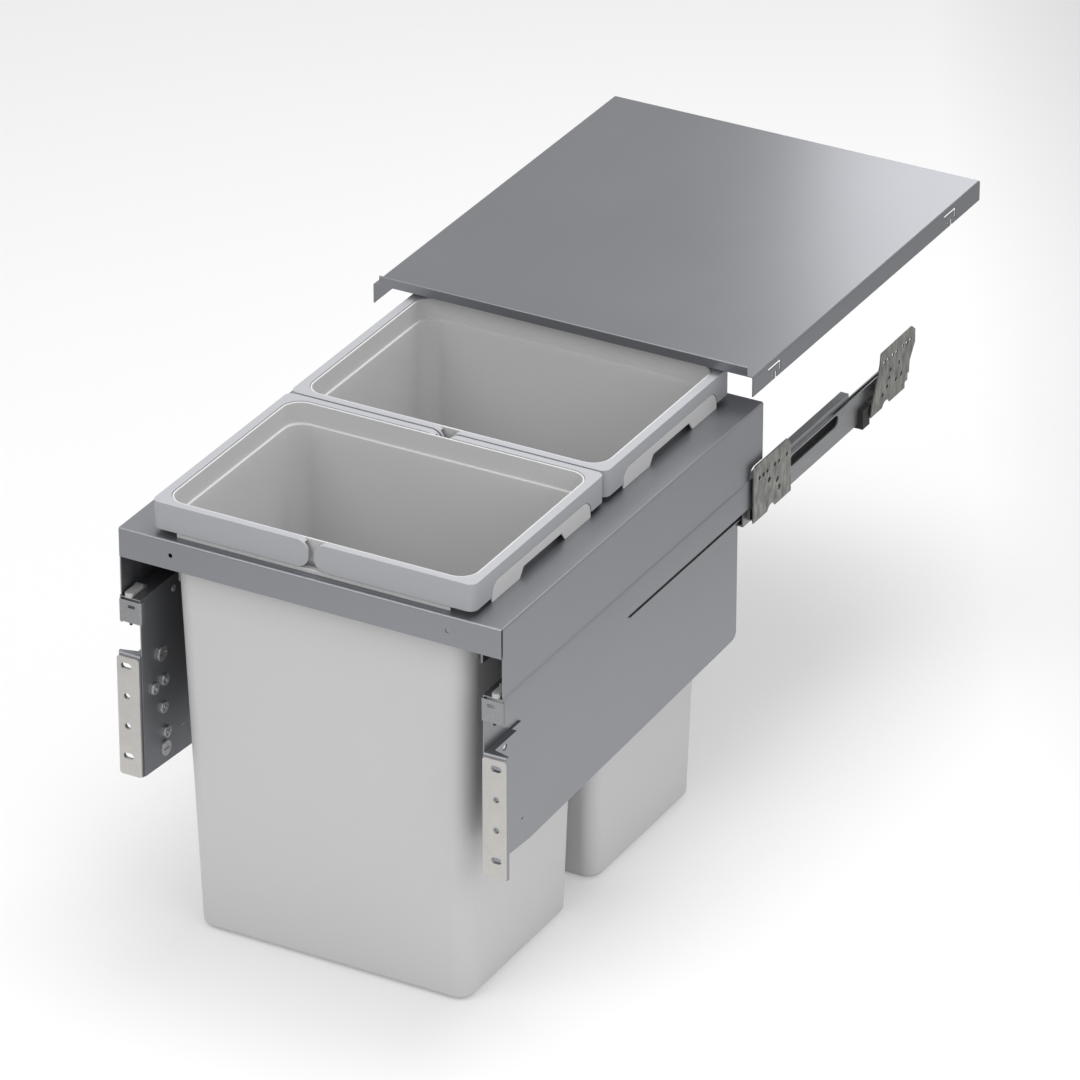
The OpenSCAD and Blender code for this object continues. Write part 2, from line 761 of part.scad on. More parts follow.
module cabinet_rail(side) color(zinc) on_side(side) difference() {
    along_y(cabinet_rail_y, cabinet_rail_y + cabinet_rail_l) cabinet_section();
    along_x(cabinet_out - rail_t - past, cabinet_out + past)
        slot2([cabinet_rail_y + window_in[0], window_mid_z], [cabinet_rail_y + window_in[1], window_mid_z],
            window_z[1] - window_z[0]);
    for (y = plate_rivet_y)
        rod_x([y, plate_rivet_z], cabinet_out - rail_t - past, cabinet_out + past, rivet_d);
}

// Foot under a wall plate that turns in to the cabinet rail
module plate_foot(range) difference() {
    union() {
        block([cabinet_out, range[0], plate_foot_z], [wall_x, range[1], plate_foot_z + wall_plate_t]);
        block([cabinet_out, range[0], plate_foot_z], [cabinet_out + wall_plate_t, range[1], tab_top]);
    }
    rod_x([(range[0] + range[1]) / 2, plate_rivet_z], cabinet_out - past, wall_x, rivet_d);
}

// Wall plate that stands on two feet, its hole patterns placed from its fixing hole
module wall_plate(hole_y, outline, feet, holes, big_holes) {
    difference() {
        along_x(wall_in, wall_x) translate([hole_y, 0]) difference() {
            polygon(outline);
            translate([(feet[0][1] + feet[1][0]) / 2, plate_foot_z - scallop_drop]) circle(scallop_r);
        }
        for (p = holes) rod_x([hole_y + p[0], p[1]], wall_in - past, wall_x + past, fix_hole_d);
        for (p = big_holes) rod_x([hole_y + p[0], p[1]], wall_in - past, wall_x + past, big_hole_d);
    }
    for (f = feet) plate_foot([hole_y + f[0], hole_y + f[1]]);
}

module front_wall_plate(side) color(nickel) on_side(side)
    wall_plate(front_hole_y, front_outline, front_feet, front_row, front_big_holes);

module rear_wall_plate(side) color(nickel) on_side(side)
    wall_plate(rear_hole_y, rear_outline, rear_feet, concat(rear_row, rear_low_holes), []);

module rail_clip(side) color(black_plastic) on_side(side) {
    block([cabinet_out, clip_y[0], cabinet_bottom - clip_drop], [wall_in - past, clip_y[1], tab_top]);
    block([cabinet_in, clip_y[0], cabinet_bottom - clip_drop], [cabinet_out, clip_y[1], cabinet_bottom]);
}

module wall_plate_rivets() color(steel)
    for (side = [left, right], y = plate_rivet_y) on_side(side) {
        x0 = cabinet_out - rail_t;
        x1 = cabinet_out + wall_plate_t;
        rod_x([y, plate_rivet_z], x0, x1, rivet_d);
        rod_x([y, plate_rivet_z], x0 - rivet_tail_h, x0, rivet_head_d - 1);
        rod_x([y, plate_rivet_z], x1, x1 + rivet_head_h, rivet_head_d);
    }

// Lid: folded sheet that hooks on the cabinet's sides
module lid_section() {
    top = lid_z + lid_t;
    box2([-lid_x + lid_bend, lid_z], [lid_x - lid_bend, top]);
    for (m = [0, 1]) mirror([m, 0]) {
        translate([lid_x - lid_bend, top - lid_bend]) intersection() {
            difference() {
                circle(lid_bend);
                circle(lid_bend - lid_t);
            }
            square(lid_bend);
        }
        box2([lid_x - lid_t, top - lid_flange_h], [lid_x, top - lid_bend]);
    }
}

// Slits that leave a sprung tongue round the lid's hook
module snap_slits(y) {
    top = lid_z + lid_t - snap_top;
    low = lid_z + lid_t - lid_flange_h;
    box2([y, top - snap_w], [y + snap_l, top]);
    box2([y + snap_l - snap_w, top - snap_h], [y + snap_l, top]);
    box2([y + snap_l - hook_slot_in - hook_slot_w, low - past],
        [y + snap_l - hook_slot_in, low + hook_slot_h]);
    translate([y + hook_hole[0], low + hook_hole[1]]) circle(d = hook_hole_d);
}

module lid() color(lid_grey) difference() {
    union() {
        along_y(lid_y, lid_y + lid_d) lid_section();
        block([-lid_x + lid_edge_in, lid_y, lid_z],
            [lid_x - lid_edge_in, lid_y + lid_t, lid_z + lid_edge_h]);
        rod_x([lid_y + lid_bead_d / 2, lid_z + lid_edge_h], -lid_x + lid_edge_in,
            lid_x - lid_edge_in, lid_bead_d);
    }
    along_x(-lid_x - past, lid_x + past) for (y = hook_y) snap_slits(y);
}

// Thin slice of a bin's body at a level, drawn in by an inset
module body_slice(level, inset, r) {
    hx = neck_x + level * draft_x - inset;
    hy = neck_y + level * draft_y - inset;
    translate([0, 0, level]) linear_extrude(height = slab_t) plan(hx, hy, r - inset, $fn = 32);
}

// Tapered body of a bin, from its rounded floor to the ledge
module bin_body(inset) {
    low = -bin_depth + inset;
    hull() {
        body_slice(low, inset + floor_round * 0.6, bin_r);
        body_slice(low + floor_round * 0.3, inset + floor_round * 0.2, bin_r);
        body_slice(low + floor_round, inset, bin_r);
        body_slice(ledge_z, inset, neck_r);
    }
}

// Outline of the side feet, seen from the side
module feet_outline(grow) {
    corner_r = foot_r + grow;
    y0 = foot_y0 - grow;
    y1 = foot_y3 + grow;
    top = shelf_z + (grow > 0 ? shelf_gap : 0);
    translate([y0 + corner_r, top - corner_r]) circle(corner_r);
    translate([y1 - corner_r, top - corner_r]) circle(corner_r);
    box2([y0 + corner_r, 0], [y1 - corner_r, top]);
    box2([y0, -grow], [y1, top - corner_r]);
}

module bin_side(side) on_side(side) intersection() {
    union() {
        block([collar_x - bin_wall / 2, foot_y0, shelf_z - bin_wall], [rim_x, foot_y3, shelf_z]);
        block([rim_x - bin_wall, foot_y0, 0], [rim_x, foot_y3, shelf_z]);
    }
    along_x(0, rim_x + past) difference() {
        feet_outline(0);
        polygon([[foot_y1, -past], [foot_y2, -past], [foot_y2, 0], [foot_y2 - grip_slope, grip_gap_h],
            [foot_y1 + grip_slope, grip_gap_h], [foot_y1, 0]]);
    }
}

module bin_end(turn) rotate([0, 0, turn]) {
    front = -rim_y + foot_inset;
    block([-foot_x, front, 0], [foot_x, front + bin_wall, foot_h]);
    block([-foot_x, front, foot_h - foot_top_t], [foot_x, -neck_y + bin_wall / 4, foot_h]);
    for (x = [-pivot_x, pivot_x])
        rod_y([x, pivot_z], -rim_y + handle_t + slip, -collar_y + bin_wall / 2, stud_d);
}

module bin() color(bin_grey) {
    difference() {
        union() {
            bin_body(0);
            translate([0, 0, ledge_z - bin_wall]) linear_extrude(height = collar_top - ledge_z + bin_wall)
                plan(collar_x, collar_y, collar_r);
        }
        bin_body(bin_wall);
        translate([0, 0, ledge_z]) linear_extrude(height = collar_top)
            plan(collar_x - bin_wall, collar_y - bin_wall, collar_r - bin_wall);
    }
    for (side = [left, right]) bin_side(side);
    for (turn = [0, 180]) bin_end(turn);
}

module front_bin() pulled_out() translate([0, front_bin_y, 0]) bin();
module rear_bin() pulled_out() translate([0, rear_bin_y, 0]) bin();

// Swing handle: half of a bin's rim, hinged at the middle of both ends
module handle_reach() {
    r = handle_end_r;
    box2([pivot_x, band_z - past], [rim_x + past, rim_h + past]);
    for (z = [band_z + r, rim_h - r]) translate([pivot_x, z]) circle(r);
    box2([pivot_x - r, band_z + r], [pivot_x, rim_h - r]);
}

module handle(side) color(handle_grey) on_side(side) difference() {
    union() {
        difference() {
            intersection() {
                union() {
                    translate([0, 0, band_z]) linear_extrude(height = band_h) difference() {
                        plan(rim_x, rim_y, rim_r);
                        plan(rim_x - handle_t, rim_y - handle_t, rim_r - handle_t);
                    }
                    translate([0, 0, rim_h - handle_t]) linear_extrude(height = handle_t) difference() {
                        plan(rim_x, rim_y, rim_r);
                        plan(rim_x - flange_w, rim_y - flange_l, collar_r + play);
                    }
                }
                along_y(-rim_y - past, rim_y + past) handle_reach();
            }
            along_x(rim_x - handle_t - past, rim_x + past) feet_outline(foot_gap);
        }
        for (turn = [0, 180]) hub_place(turn)
            rod_y([0, pivot_z], -rim_y + handle_t / 2, -collar_y - slip, hub_d);
    }
    for (turn = [0, 180]) hub_place(turn)
        rod_y([0, pivot_z], -rim_y + handle_t, -collar_y, stud_d + 2 * running);
}

// Puts its children at the pivot in front, or turned round at the one behind
module hub_place(turn) {
    translate([pivot_x, 0, 0]) rotate([0, 0, turn]) children();
}

module front_bin_handle(side) pulled_out() translate([0, front_bin_y, 0]) handle(side);
module rear_bin_handle(side) pulled_out() translate([0, rear_bin_y, 0]) handle(side);

frame_tray();
side_plate(left);  // side_plate_left
side_plate(right);  // side_plate_right
drawer_rail(left);  // drawer_rail_left
drawer_rail(right);  // drawer_rail_right
rail_front_cap(left);  // rail_front_cap_left
rail_front_cap(right);  // rail_front_cap_right
cap_buffers();
release_lever(left);  // release_lever_left
release_lever(right);  // release_lever_right
lever_pins();
frame_rivets();
door_bracket(left);  // door_bracket_left
door_bracket(right);  // door_bracket_right
bracket_arm(left);  // bracket_arm_left
bracket_arm(right);  // bracket_arm_right
cam(upper_cam, left);  // upper_cam_left
cam(upper_cam, right);  // upper_cam_right
cam(lower_cam, left);  // lower_cam_left
cam(lower_cam, right);  // lower_cam_right
bracket_screws(left);  // bracket_screws_left
bracket_screws(right);  // bracket_screws_right
middle_rail(left);  // middle_rail_left
middle_rail(right);  // middle_rail_right
lower_cage(left);  // lower_cage_left
lower_cage(right);  // lower_cage_right
lower_rollers(left);  // lower_rollers_left
lower_rollers(right);  // lower_rollers_right
upper_cage(left);  // upper_cage_left
upper_cage(right);  // upper_cage_right
upper_rollers(left);  // upper_rollers_left
upper_rollers(right);  // upper_rollers_right
cabinet_rail(left);  // cabinet_rail_left
cabinet_rail(right);  // cabinet_rail_right
front_wall_plate(left);  // front_wall_plate_left
front_wall_plate(right);  // front_wall_plate_right
rear_wall_plate(left);  // rear_wall_plate_left
rear_wall_plate(right);  // rear_wall_plate_right
rail_clip(left);  // rail_clip_left
rail_clip(right);  // rail_clip_right
wall_plate_rivets();
lid();
front_bin();
rear_bin();
front_bin_handle(left);  // front_bin_handle_left
front_bin_handle(right);  // front_bin_handle_right
rear_bin_handle(left);  // rear_bin_handle_left
rear_bin_handle(right);  // rear_bin_handle_right
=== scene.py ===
"""Looks for the pull out bin frame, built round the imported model."""

import json
import math

import bmesh
import bpy
from bpy.props import FloatProperty, FloatVectorProperty, IntProperty, PointerProperty
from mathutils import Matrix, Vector


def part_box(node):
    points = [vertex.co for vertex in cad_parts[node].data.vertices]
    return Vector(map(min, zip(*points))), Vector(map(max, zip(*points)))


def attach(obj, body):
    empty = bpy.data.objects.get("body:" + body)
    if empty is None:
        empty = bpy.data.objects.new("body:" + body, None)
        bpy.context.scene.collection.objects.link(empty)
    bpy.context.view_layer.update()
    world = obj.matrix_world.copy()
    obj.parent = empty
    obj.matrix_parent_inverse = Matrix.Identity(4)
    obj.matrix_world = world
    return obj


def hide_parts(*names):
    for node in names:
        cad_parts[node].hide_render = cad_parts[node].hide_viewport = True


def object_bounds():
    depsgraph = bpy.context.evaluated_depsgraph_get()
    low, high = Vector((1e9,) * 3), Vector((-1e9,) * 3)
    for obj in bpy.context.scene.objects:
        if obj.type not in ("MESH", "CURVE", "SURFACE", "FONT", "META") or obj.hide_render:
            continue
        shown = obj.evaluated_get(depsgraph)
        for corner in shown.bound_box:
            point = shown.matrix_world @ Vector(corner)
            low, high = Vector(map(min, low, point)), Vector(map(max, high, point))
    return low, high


bl_info = {
    "name": "Pull out bin frame",
    "version": (1, 0, 0),
    "blender": (4, 5, 0),
    "location": "View3D > Sidebar > Bin frame",
    "description": "Dresses a pull out bin frame for a kitchen cabinet",
    "category": "Object",
}

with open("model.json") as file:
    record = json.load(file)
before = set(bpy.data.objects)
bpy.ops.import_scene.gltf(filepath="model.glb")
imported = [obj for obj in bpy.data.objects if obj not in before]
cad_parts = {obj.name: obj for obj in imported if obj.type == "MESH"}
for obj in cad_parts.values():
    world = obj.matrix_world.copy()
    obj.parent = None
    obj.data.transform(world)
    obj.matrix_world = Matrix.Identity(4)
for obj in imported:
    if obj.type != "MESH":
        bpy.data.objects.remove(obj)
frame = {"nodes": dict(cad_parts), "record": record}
CAD_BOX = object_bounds()
MM = 0.001
SIDES = ("left", "right")
BINS = ("front", "rear")
BLACK = (0.0, 0.0, 0.0)
WHITE = (1.0, 1.0, 1.0)


# Sizes and colours that a user would change


def length(name, description, default):
    """A property that holds a length in metres."""
    return FloatProperty(name=name, description=description, default=default, unit="LENGTH", precision=4)


def colour(name, description, default):
    """A property that holds a colour."""
    return FloatVectorProperty(
        name=name, description=description, default=default, subtype="COLOR", size=3, min=0.0, max=1.0)


class BinSizes(bpy.types.PropertyGroup):
    """Sizes of a bin's moulding."""

    wall: length("Wall", "Wall thickness", 2.0 * MM)
    rim_x: length("Rim half width", "Half width over the handles", 168.6 * MM)
    rim_y: length("Rim half length", "Half length over the handles", 122.65 * MM)
    collar_x: length("Collar half width", "Half width over the collar", 159.7 * MM)
    collar_y: length("Collar half length", "Half length over the collar", 114.85 * MM)
    collar_r: length("Collar radius", "Corner radius of the collar", 20.0 * MM)
    neck_x: length("Neck half width", "Half width of the body at the deck", 157.0 * MM)
    neck_y: length("Neck half length", "Half length of the body at the deck", 112.0 * MM)
    neck_r: length("Neck radius", "Corner radius of the body at the deck", 20.0 * MM)
    floor_x: length("Floor half width", "Half width of the floor", 145.0 * MM)
    floor_y: length("Floor half length", "Half length of the floor", 99.0 * MM)
    floor_r: length("Floor radius", "Corner radius of the body at the floor", 16.0 * MM)
    floor_round: length("Floor rounding", "Radius between the floor and the walls", 5.0 * MM)
    ledge: length("Ledge height", "Height of the ledge inside the collar", 11.0 * MM)
    depth: length("Depth", "Depth below the deck", 424.0 * MM)
    shelf: length("Shelf height", "Height of the side shelves", 19.0 * MM)
    foot_r: length("Foot radius", "Radius over the ends of the side feet", 13.0 * MM)
    foot_front: length("Front of feet", "Front end of the side feet", -89.0 * MM)
    foot_back: length("Back of feet", "Back end of the side feet", 95.0 * MM)
    grip_front: length("Front of grip", "Front end of the finger gap", -38.0 * MM)
    grip_back: length("Back of grip", "Back end of the finger gap", 47.0 * MM)
    grip_slope: length("Grip slope", "How far the ends of the finger gap lean in", 7.0 * MM)
    grip_height: length("Grip height", "Height of the finger gap", 9.5 * MM)
    skirt_x: length("Skirt half width", "Half width of the skirts at the ends", 143.0 * MM)
    skirt_height: length("Skirt height", "Height of the skirts at the ends", 4.2 * MM)
    skirt_in: length("Skirt inset", "How far the skirts lie in from the rim", 1.8 * MM)
    stud_x: length("Stud place", "Distance of the handles' studs from the middle", 15.0 * MM)
    stud_z: length("Stud height", "Height of the handles' studs", 19.25 * MM)
    stud_gap: length("Stud gap", "Distance from the rim to the end of a stud", 2.7 * MM)
    stud_r: length("Stud radius", "Radius of the handles' studs", 4.0 * MM)
    corner_steps: IntProperty(
        name="Corner steps", description="Faces in each corner", default=12, min=4, max=32)


class EdgeSizes(bpy.types.PropertyGroup):
    """How far the edges are broken or rounded."""

    sheet: length("Sheet edge", "Width of the broken edge on sheet metal", 0.3 * MM)
    moulded: length("Moulded edge", "Width of the rounded edge on mouldings", 0.9 * MM)
    rib: length("Rib edge", "Width of the rounded edge on thin ribs", 0.5 * MM)
    turned: length("Turned edge", "Width of the broken edge on turned pieces", 0.25 * MM)


class FastenerSizes(bpy.types.PropertyGroup):
    """Sizes of the rivets, the clamp screws and the rollers."""

    rivet_head: length("Rivet head", "Height of a rivet's dome", 1.1 * MM)
    rivet_tail: length("Rivet tail", "Height of a rivet's closed end", 0.6 * MM)
    rivet_shank: length("Rivet shank", "Diameter of a rivet's shank", 4.0 * MM)
    rivet_tail_width: length("Rivet tail width", "Diameter of a rivet's closed end", 6.0 * MM)
    screw_head: length("Screw head", "Height of a clamp screw's head", 2.6 * MM)
    screw_shank: length("Screw shank", "Diameter of a clamp screw's shank", 5.0 * MM)
    recess_length: length("Recess length", "Length of the cross in a screw's head", 8.0 * MM)
    recess_width: length("Recess width", "Width of the cross in a screw's head", 2.4 * MM)
    recess_depth: length("Recess depth", "Depth of the cross in a screw's head", 2.2 * MM)
    sides: IntProperty(name="Sides", description="Faces round a turned piece", default=32, min=12, max=64)


class Finishes(bpy.types.PropertyGroup):
    """Colours of the finishes."""

    frame_paint: colour("Frame paint", "Paint of the tray, side plates and arms", (0.280, 0.286, 0.306))
    lid_paint: colour("Lid paint", "Metallic paint of the lid", (0.245, 0.250, 0.268))
    nickel: colour("Nickel", "Nickel plate of the door brackets", (0.530, 0.516, 0.492))
    wall_plate: colour("Wall plate", "Brushed steel of the wall plates", (0.240, 0.242, 0.225))
    zinc: colour("Zinc", "Zinc plate of the rails and their caps", (0.312, 0.316, 0.324))
    bright_steel: colour("Bright steel", "Rollers, cams, screws, pins and rivets", (0.620, 0.620, 0.620))
    lever_steel: colour("Lever steel", "Tumbled steel of the release levers", (0.500, 0.500, 0.490))
    bin_plastic: colour("Bin plastic", "Moulded plastic of the bins", (0.550, 0.550, 0.550))
    handle_plastic: colour("Handle plastic", "Moulded plastic of the handles", (0.352, 0.357, 0.378))
    black_plastic: colour("Black plastic", "Cages, clips and buffers", (0.012, 0.012, 0.013))
    floor: colour("Floor", "Floor under the object", (0.860, 0.860, 0.860))


class StageSettings(bpy.types.PropertyGroup):
    """Camera and lights."""

    camera_place: FloatVectorProperty(
        name="Camera place", description="Place of the camera, from the cabinet's front edge",
        default=(2983.93 * MM, -5436.86 * MM, 3175.29 * MM), subtype="XYZ", unit="LENGTH", size=3)
    yaw: FloatProperty(
        name="Yaw", description="How far the camera is turned left",
        default=math.radians(28.92), subtype="ANGLE")
    pitch: FloatProperty(
        name="Pitch", description="How far the camera looks down",
        default=math.radians(28.44), subtype="ANGLE")
    focal_length: FloatProperty(
        name="Focal length", description="In millimetres on a 36 mm sensor", default=244.2)
    daylight: FloatProperty(name="Daylight", description="Strength of the even light", default=0.62, min=0.0)
    backdrop: FloatProperty(
        name="Backdrop", description="Brightness of what the camera and metal see", default=0.70, min=0.0)
    floor_glow: FloatProperty(
        name="Floor glow", description="Brightness of the floor by itself", default=0.85, min=0.0)
    floor_lift: FloatProperty(
        name="Floor lift", description="How much of the floor's look is its own brightness",
        default=0.35, min=0.0, max=1.0)
    key: FloatProperty(
        name="Key", description="Power of the lamp over the front", default=22.0, min=0.0)
    top: FloatProperty(name="Top", description="Power of the lamp overhead", default=52.0, min=0.0)
    fill: FloatProperty(
        name="Fill", description="Power of the lamp at the front right", default=6.0, min=0.0)
    sheen: FloatProperty(
        name="Sheen", description="Power of the lamp that the lid mirrors", default=1.3, min=0.0)


# Shader maths

# Sockets of a Mix node that mixes colours
COLOUR_A, COLOUR_B, COLOUR_RESULT = 6, 7, 2


class Sock:
    """A socket or number in a material's node tree, with arithmetic."""

    def __init__(self, tree, value):
        self.tree = tree
        self.value = value

    def node(self, kind, settings=None, inputs=None, output=0):
        """Adds a node, sets what it needs and returns one of its outputs."""
        made = self.tree.nodes.new(kind)
        for key, setting in (settings or {}).items():
            if key == "stops":
                ramp = made.color_ramp
                while len(ramp.elements) < len(setting):
                    ramp.elements.new(0.5)
                for element, (place, shade) in zip(ramp.elements, setting):
                    element.position = place
                    element.color = (*shade, 1.0)
            else:
                setattr(made, key, setting)
        for key, given in (inputs or {}).items():
            socket = made.inputs[key]
            for one in given if isinstance(given, list) else [given]:
                if isinstance(one, Sock):
                    one = one.value
                if isinstance(one, bpy.types.NodeSocket):
                    self.tree.links.new(one, socket)
                else:
                    socket.default_value = one
        return Sock(self.tree, made.outputs[output])

    def _math(self, operation, a, b):
        return self.node("ShaderNodeMath", {"operation": operation}, {0: a, 1: b})

    def __add__(self, other):
        return self._math("ADD", self, other)

    def __radd__(self, other):
        return self._math("ADD", other, self)

    def __sub__(self, other):
        return self._math("SUBTRACT", self, other)

    def __rsub__(self, other):
        return self._math("SUBTRACT", other, self)

    def __mul__(self, other):
        return self._math("MULTIPLY", self, other)

    def __rmul__(self, other):
        return self._math("MULTIPLY", other, self)

    def below(self, limit):
        """1 where the value is under a limit, otherwise 0."""
        return self._math("LESS_THAN", self, limit)


class Finish:
    """A material in the making: its tree, its shader and the patterns that they read."""

    def __init__(self, name):
        self.material = bpy.data.materials.new(name)
        self.material.use_nodes = True
        self.tree = self.material.node_tree
        self.shader = next(n for n in self.tree.nodes if n.type == "BSDF_PRINCIPLED")
        self.start = Sock(self.tree, None)
        self.place = self.start.node("ShaderNodeTexCoord", output="Object")

    def stretched(self, scale):
        """Object coordinates scaled along each axis."""
        return self.start.node("ShaderNodeMapping", inputs={"Vector": self.place, "Scale": scale})

    def noise(self, scale, detail=2.0, roughness=0.5, stretch=(1, 1, 1)):
        """Soft noise from 0 to 1, so many to the metre."""
        return self.start.node(
            "ShaderNodeTexNoise", {"noise_dimensions": "3D"},
            {"Vector": self.stretched(stretch), "Scale": scale, "Detail": detail, "Roughness": roughness})

    def shades(self, mask, dark, light):
        """A colour between two, by a mask."""
        return self.start.node(
            "ShaderNodeMix", {"data_type": "RGBA"},
            {"Factor": mask, COLOUR_A: (*dark, 1.0), COLOUR_B: (*light, 1.0)}, output=COLOUR_RESULT)

    def set(self, **sockets):
        """Sets or links the shader's sockets by their names in lower case."""
        names = {s.name.lower().replace(" ", "_"): s for s in self.shader.inputs}
        for key, given in sockets.items():
            if isinstance(given, Sock):
                self.tree.links.new(given.value, names[key])
            else:
                names[key].default_value = given

    def bump(self, height, distance):
        """Links a pattern to the shader's normal, with its height in metres."""
        self.set(normal=self.start.node("ShaderNodeBump", inputs={"Height": height, "Distance": distance}))


def tint(shade, factor):
    """A colour made lighter or darker."""
    return tuple(min(1.0, c * factor) for c in shade)


# Scales of the patches and grains of the finishes, to the metre
PAINT_CLOUDS, PAINT_FLAKES, PAINT_PEEL = 9.0, 2600.0, 750.0
PLATE_CLOUDS, PLATE_STREAKS = 60.0, 700.0
MOULD_CLOUDS, MOULD_GRAINS = 6.0, 1400.0

# How high the grains stand
METAL_BUMP = 0.02 * MM
MOULD_BUMP = 0.03 * MM


def metallic_paint(name, shade, gloss):
    """Satin metallic paint: fine flakes, a faint orange peel and clouded gloss."""
    finish = Finish(name)
    cloud = finish.noise(PAINT_CLOUDS, 3.0)
    flakes = finish.noise(PAINT_FLAKES, 1.0)
    peel = finish.noise(PAINT_PEEL, 2.0)
    finish.set(
        base_color=finish.shades(0.5 * cloud + 0.5 * flakes, tint(shade, 0.90), tint(shade, 1.10)),
        metallic=0.88, roughness=gloss + 0.05 * cloud + 0.05 * flakes)
    finish.bump(peel, METAL_BUMP)
    return finish.material


def plated(name, shade, gloss, grain=(1, 1, 1), mottle=0.06, metal=0.9):
    """Plated sheet steel: metal with a grain, mottled shades and clouded gloss."""
    finish = Finish(name)
    cloud = finish.noise(PLATE_CLOUDS, 5.0, 0.6)
    streaks = finish.noise(PLATE_STREAKS, 3.0, stretch=grain)
    patches = finish.start.node(
        "ShaderNodeValToRGB", {"stops": ((0.32, BLACK), (0.68, WHITE))},
        {0: 0.4 * cloud + 0.6 * streaks})
    finish.set(
        base_color=finish.shades(patches, tint(shade, 1 - 2 * mottle), tint(shade, 1 + 2 * mottle)),
        metallic=metal, roughness=gloss + 0.15 * cloud)
    finish.bump(streaks, METAL_BUMP)
    return finish.material


def moulded(name, shade, gloss):
    """Moulded plastic: a fine eroded grain."""
    finish = Finish(name)
    cloud = finish.noise(MOULD_CLOUDS, 2.0)
    grain = finish.noise(MOULD_GRAINS, 3.0)
    finish.set(
        base_color=finish.shades(cloud, tint(shade, 0.985), tint(shade, 1.015)),
        roughness=gloss + 0.05 * grain)
    finish.bump(grain, MOULD_BUMP)
    return finish.material


def make_materials():
    """Makes every finish from the colours in the scene's settings."""
    tones = bpy.context.scene.bin_finishes
    return {
        "frame_paint": metallic_paint("frame_paint", tones.frame_paint, 0.34),
        "lid_paint": metallic_paint("lid_paint", tones.lid_paint, 0.26),
        "nickel_steel": plated("nickel_steel", tones.nickel, 0.30, grain=(1, 0.3, 1)),
        "wall_plate_steel": plated(
            "wall_plate_steel", tones.wall_plate, 0.28, grain=(1, 0.3, 0.1), mottle=0.28),
        "zinc_steel": plated("zinc_steel", tones.zinc, 0.34, grain=(1, 0.05, 1)),
        "bright_steel": plated("bright_steel", tones.bright_steel, 0.20),
        "lever_steel": plated("lever_steel", tones.lever_steel, 0.45, mottle=0.03, metal=0.4),
        "bin_plastic": moulded("bin_plastic", tones.bin_plastic, 0.50),
        "handle_plastic": moulded("handle_plastic", tones.handle_plastic, 0.46),
        "black_plastic": moulded("black_plastic", tones.black_plastic, 0.55),
    }


MATERIALS = {}

# Parts whose finish isn't the one that their slot is named for
OWN_FINISH = {
    "front_wall_plate": "wall_plate_steel", "rear_wall_plate": "wall_plate_steel",
    "release_lever": "lever_steel", "upper_cam": "bright_steel", "lower_cam": "bright_steel"}
SLOT_OF = {s["node"]: s["material_slot"] for s in frame["record"]["subparts"]}
BODY_OF = {n: b for b, names in frame["record"]["behaviour"]["bodies"].items() for n in names}


def material(slot):
    """The finish of a slot, made the first time that one is asked for."""
    if not MATERIALS:
        MATERIALS.update(make_materials())
    return MATERIALS[slot]


# Mesh tools

# Points nearer than this are one
NEAR = 0.001 * MM

# Faces that meet at less than the first angle are one flat face. Up to the second they are a curve, from
# there to the third a bend that stays sharp, and above it an edge that is broken
FLAT_ANGLE = math.radians(0.6)
CURVE_ANGLE = math.radians(15)
EDGE_ANGLE = math.radians(40)

# Turned pieces are smooth up to this angle
TURNED_ANGLE = math.radians(35)


def seat_piece(piece, node):
    """Gives a piece its finish and body, in place of its node."""
    piece.data.materials.clear()
    piece.data.materials.append(material(OWN_FINISH.get(node.rsplit("_", 1)[0], SLOT_OF[node])))
    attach(piece, BODY_OF[node])
    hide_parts(node)
    return piece


def object_of(name, bm):
    """Makes an object from a bmesh."""
    mesh = bpy.data.meshes.new(name)
    bm.to_mesh(mesh)
    bm.free()
    made = bpy.data.objects.new(name, mesh)
    bpy.context.scene.collection.objects.link(made)
    return made


def flattened(piece):
    """Applies a piece's modifiers to its mesh."""
    graph = bpy.context.evaluated_depsgraph_get()
    graph.update()
    mesh = bpy.data.meshes.new_from_object(piece.evaluated_get(graph))
    piece.modifiers.clear()
    piece.data = mesh
    return piece


def even_shading(piece):
    """Turns a piece's normals towards its larger faces, so that flat faces look flat."""
    shading = piece.modifiers.new("shading", "WEIGHTED_NORMAL")
    shading.mode = "FACE_AREA"
    shading.keep_sharp = True
    return flattened(piece)


def smooth_by_angle(piece, angle):
    """Shades a piece smooth, apart from its sharp edges."""
    mesh = piece.data
    mesh.shade_smooth()
    mesh.set_sharp_from_angle(angle=angle)
    return even_shading(piece)


def merged_copy(node):
    """A copy of a node's mesh with its points merged."""
    bm = bmesh.new()
    bm.from_mesh(frame["nodes"][node].data)
    bmesh.ops.remove_doubles(bm, verts=bm.verts, dist=NEAR)
    return bm


def flat_faced_copy(node):
    """A merged copy of a node's mesh with its flat faces whole and its slight bends sharp."""
    bm = merged_copy(node)
    bmesh.ops.dissolve_limit(bm, angle_limit=FLAT_ANGLE, verts=bm.verts, edges=bm.edges)
    for face in bm.faces:
        face.smooth = True
    for edge in bm.edges:
        edge.smooth = not CURVE_ANGLE < edge.calc_face_angle(0.0) < EDGE_ANGLE
    return bm


def rounded(piece, width, segments=2):
    """Rounds a piece's edges and shades it so that its flat faces stay flat."""
    bevel = piece.modifiers.new("edge", "BEVEL")
    bevel.width = width
    bevel.segments = segments
    bevel.limit_method = "ANGLE"
    bevel.angle_limit = EDGE_ANGLE
    bevel.use_clamp_overlap = True
    bevel.miter_outer = "MITER_ARC"
    return even_shading(piece)


def broken_edges(node, width, segments=2):
    """A copy of a node with its edges broken, in the node's place."""
    piece = object_of(node + "_body", flat_faced_copy(node))
    return seat_piece(rounded(piece, width, segments), node)


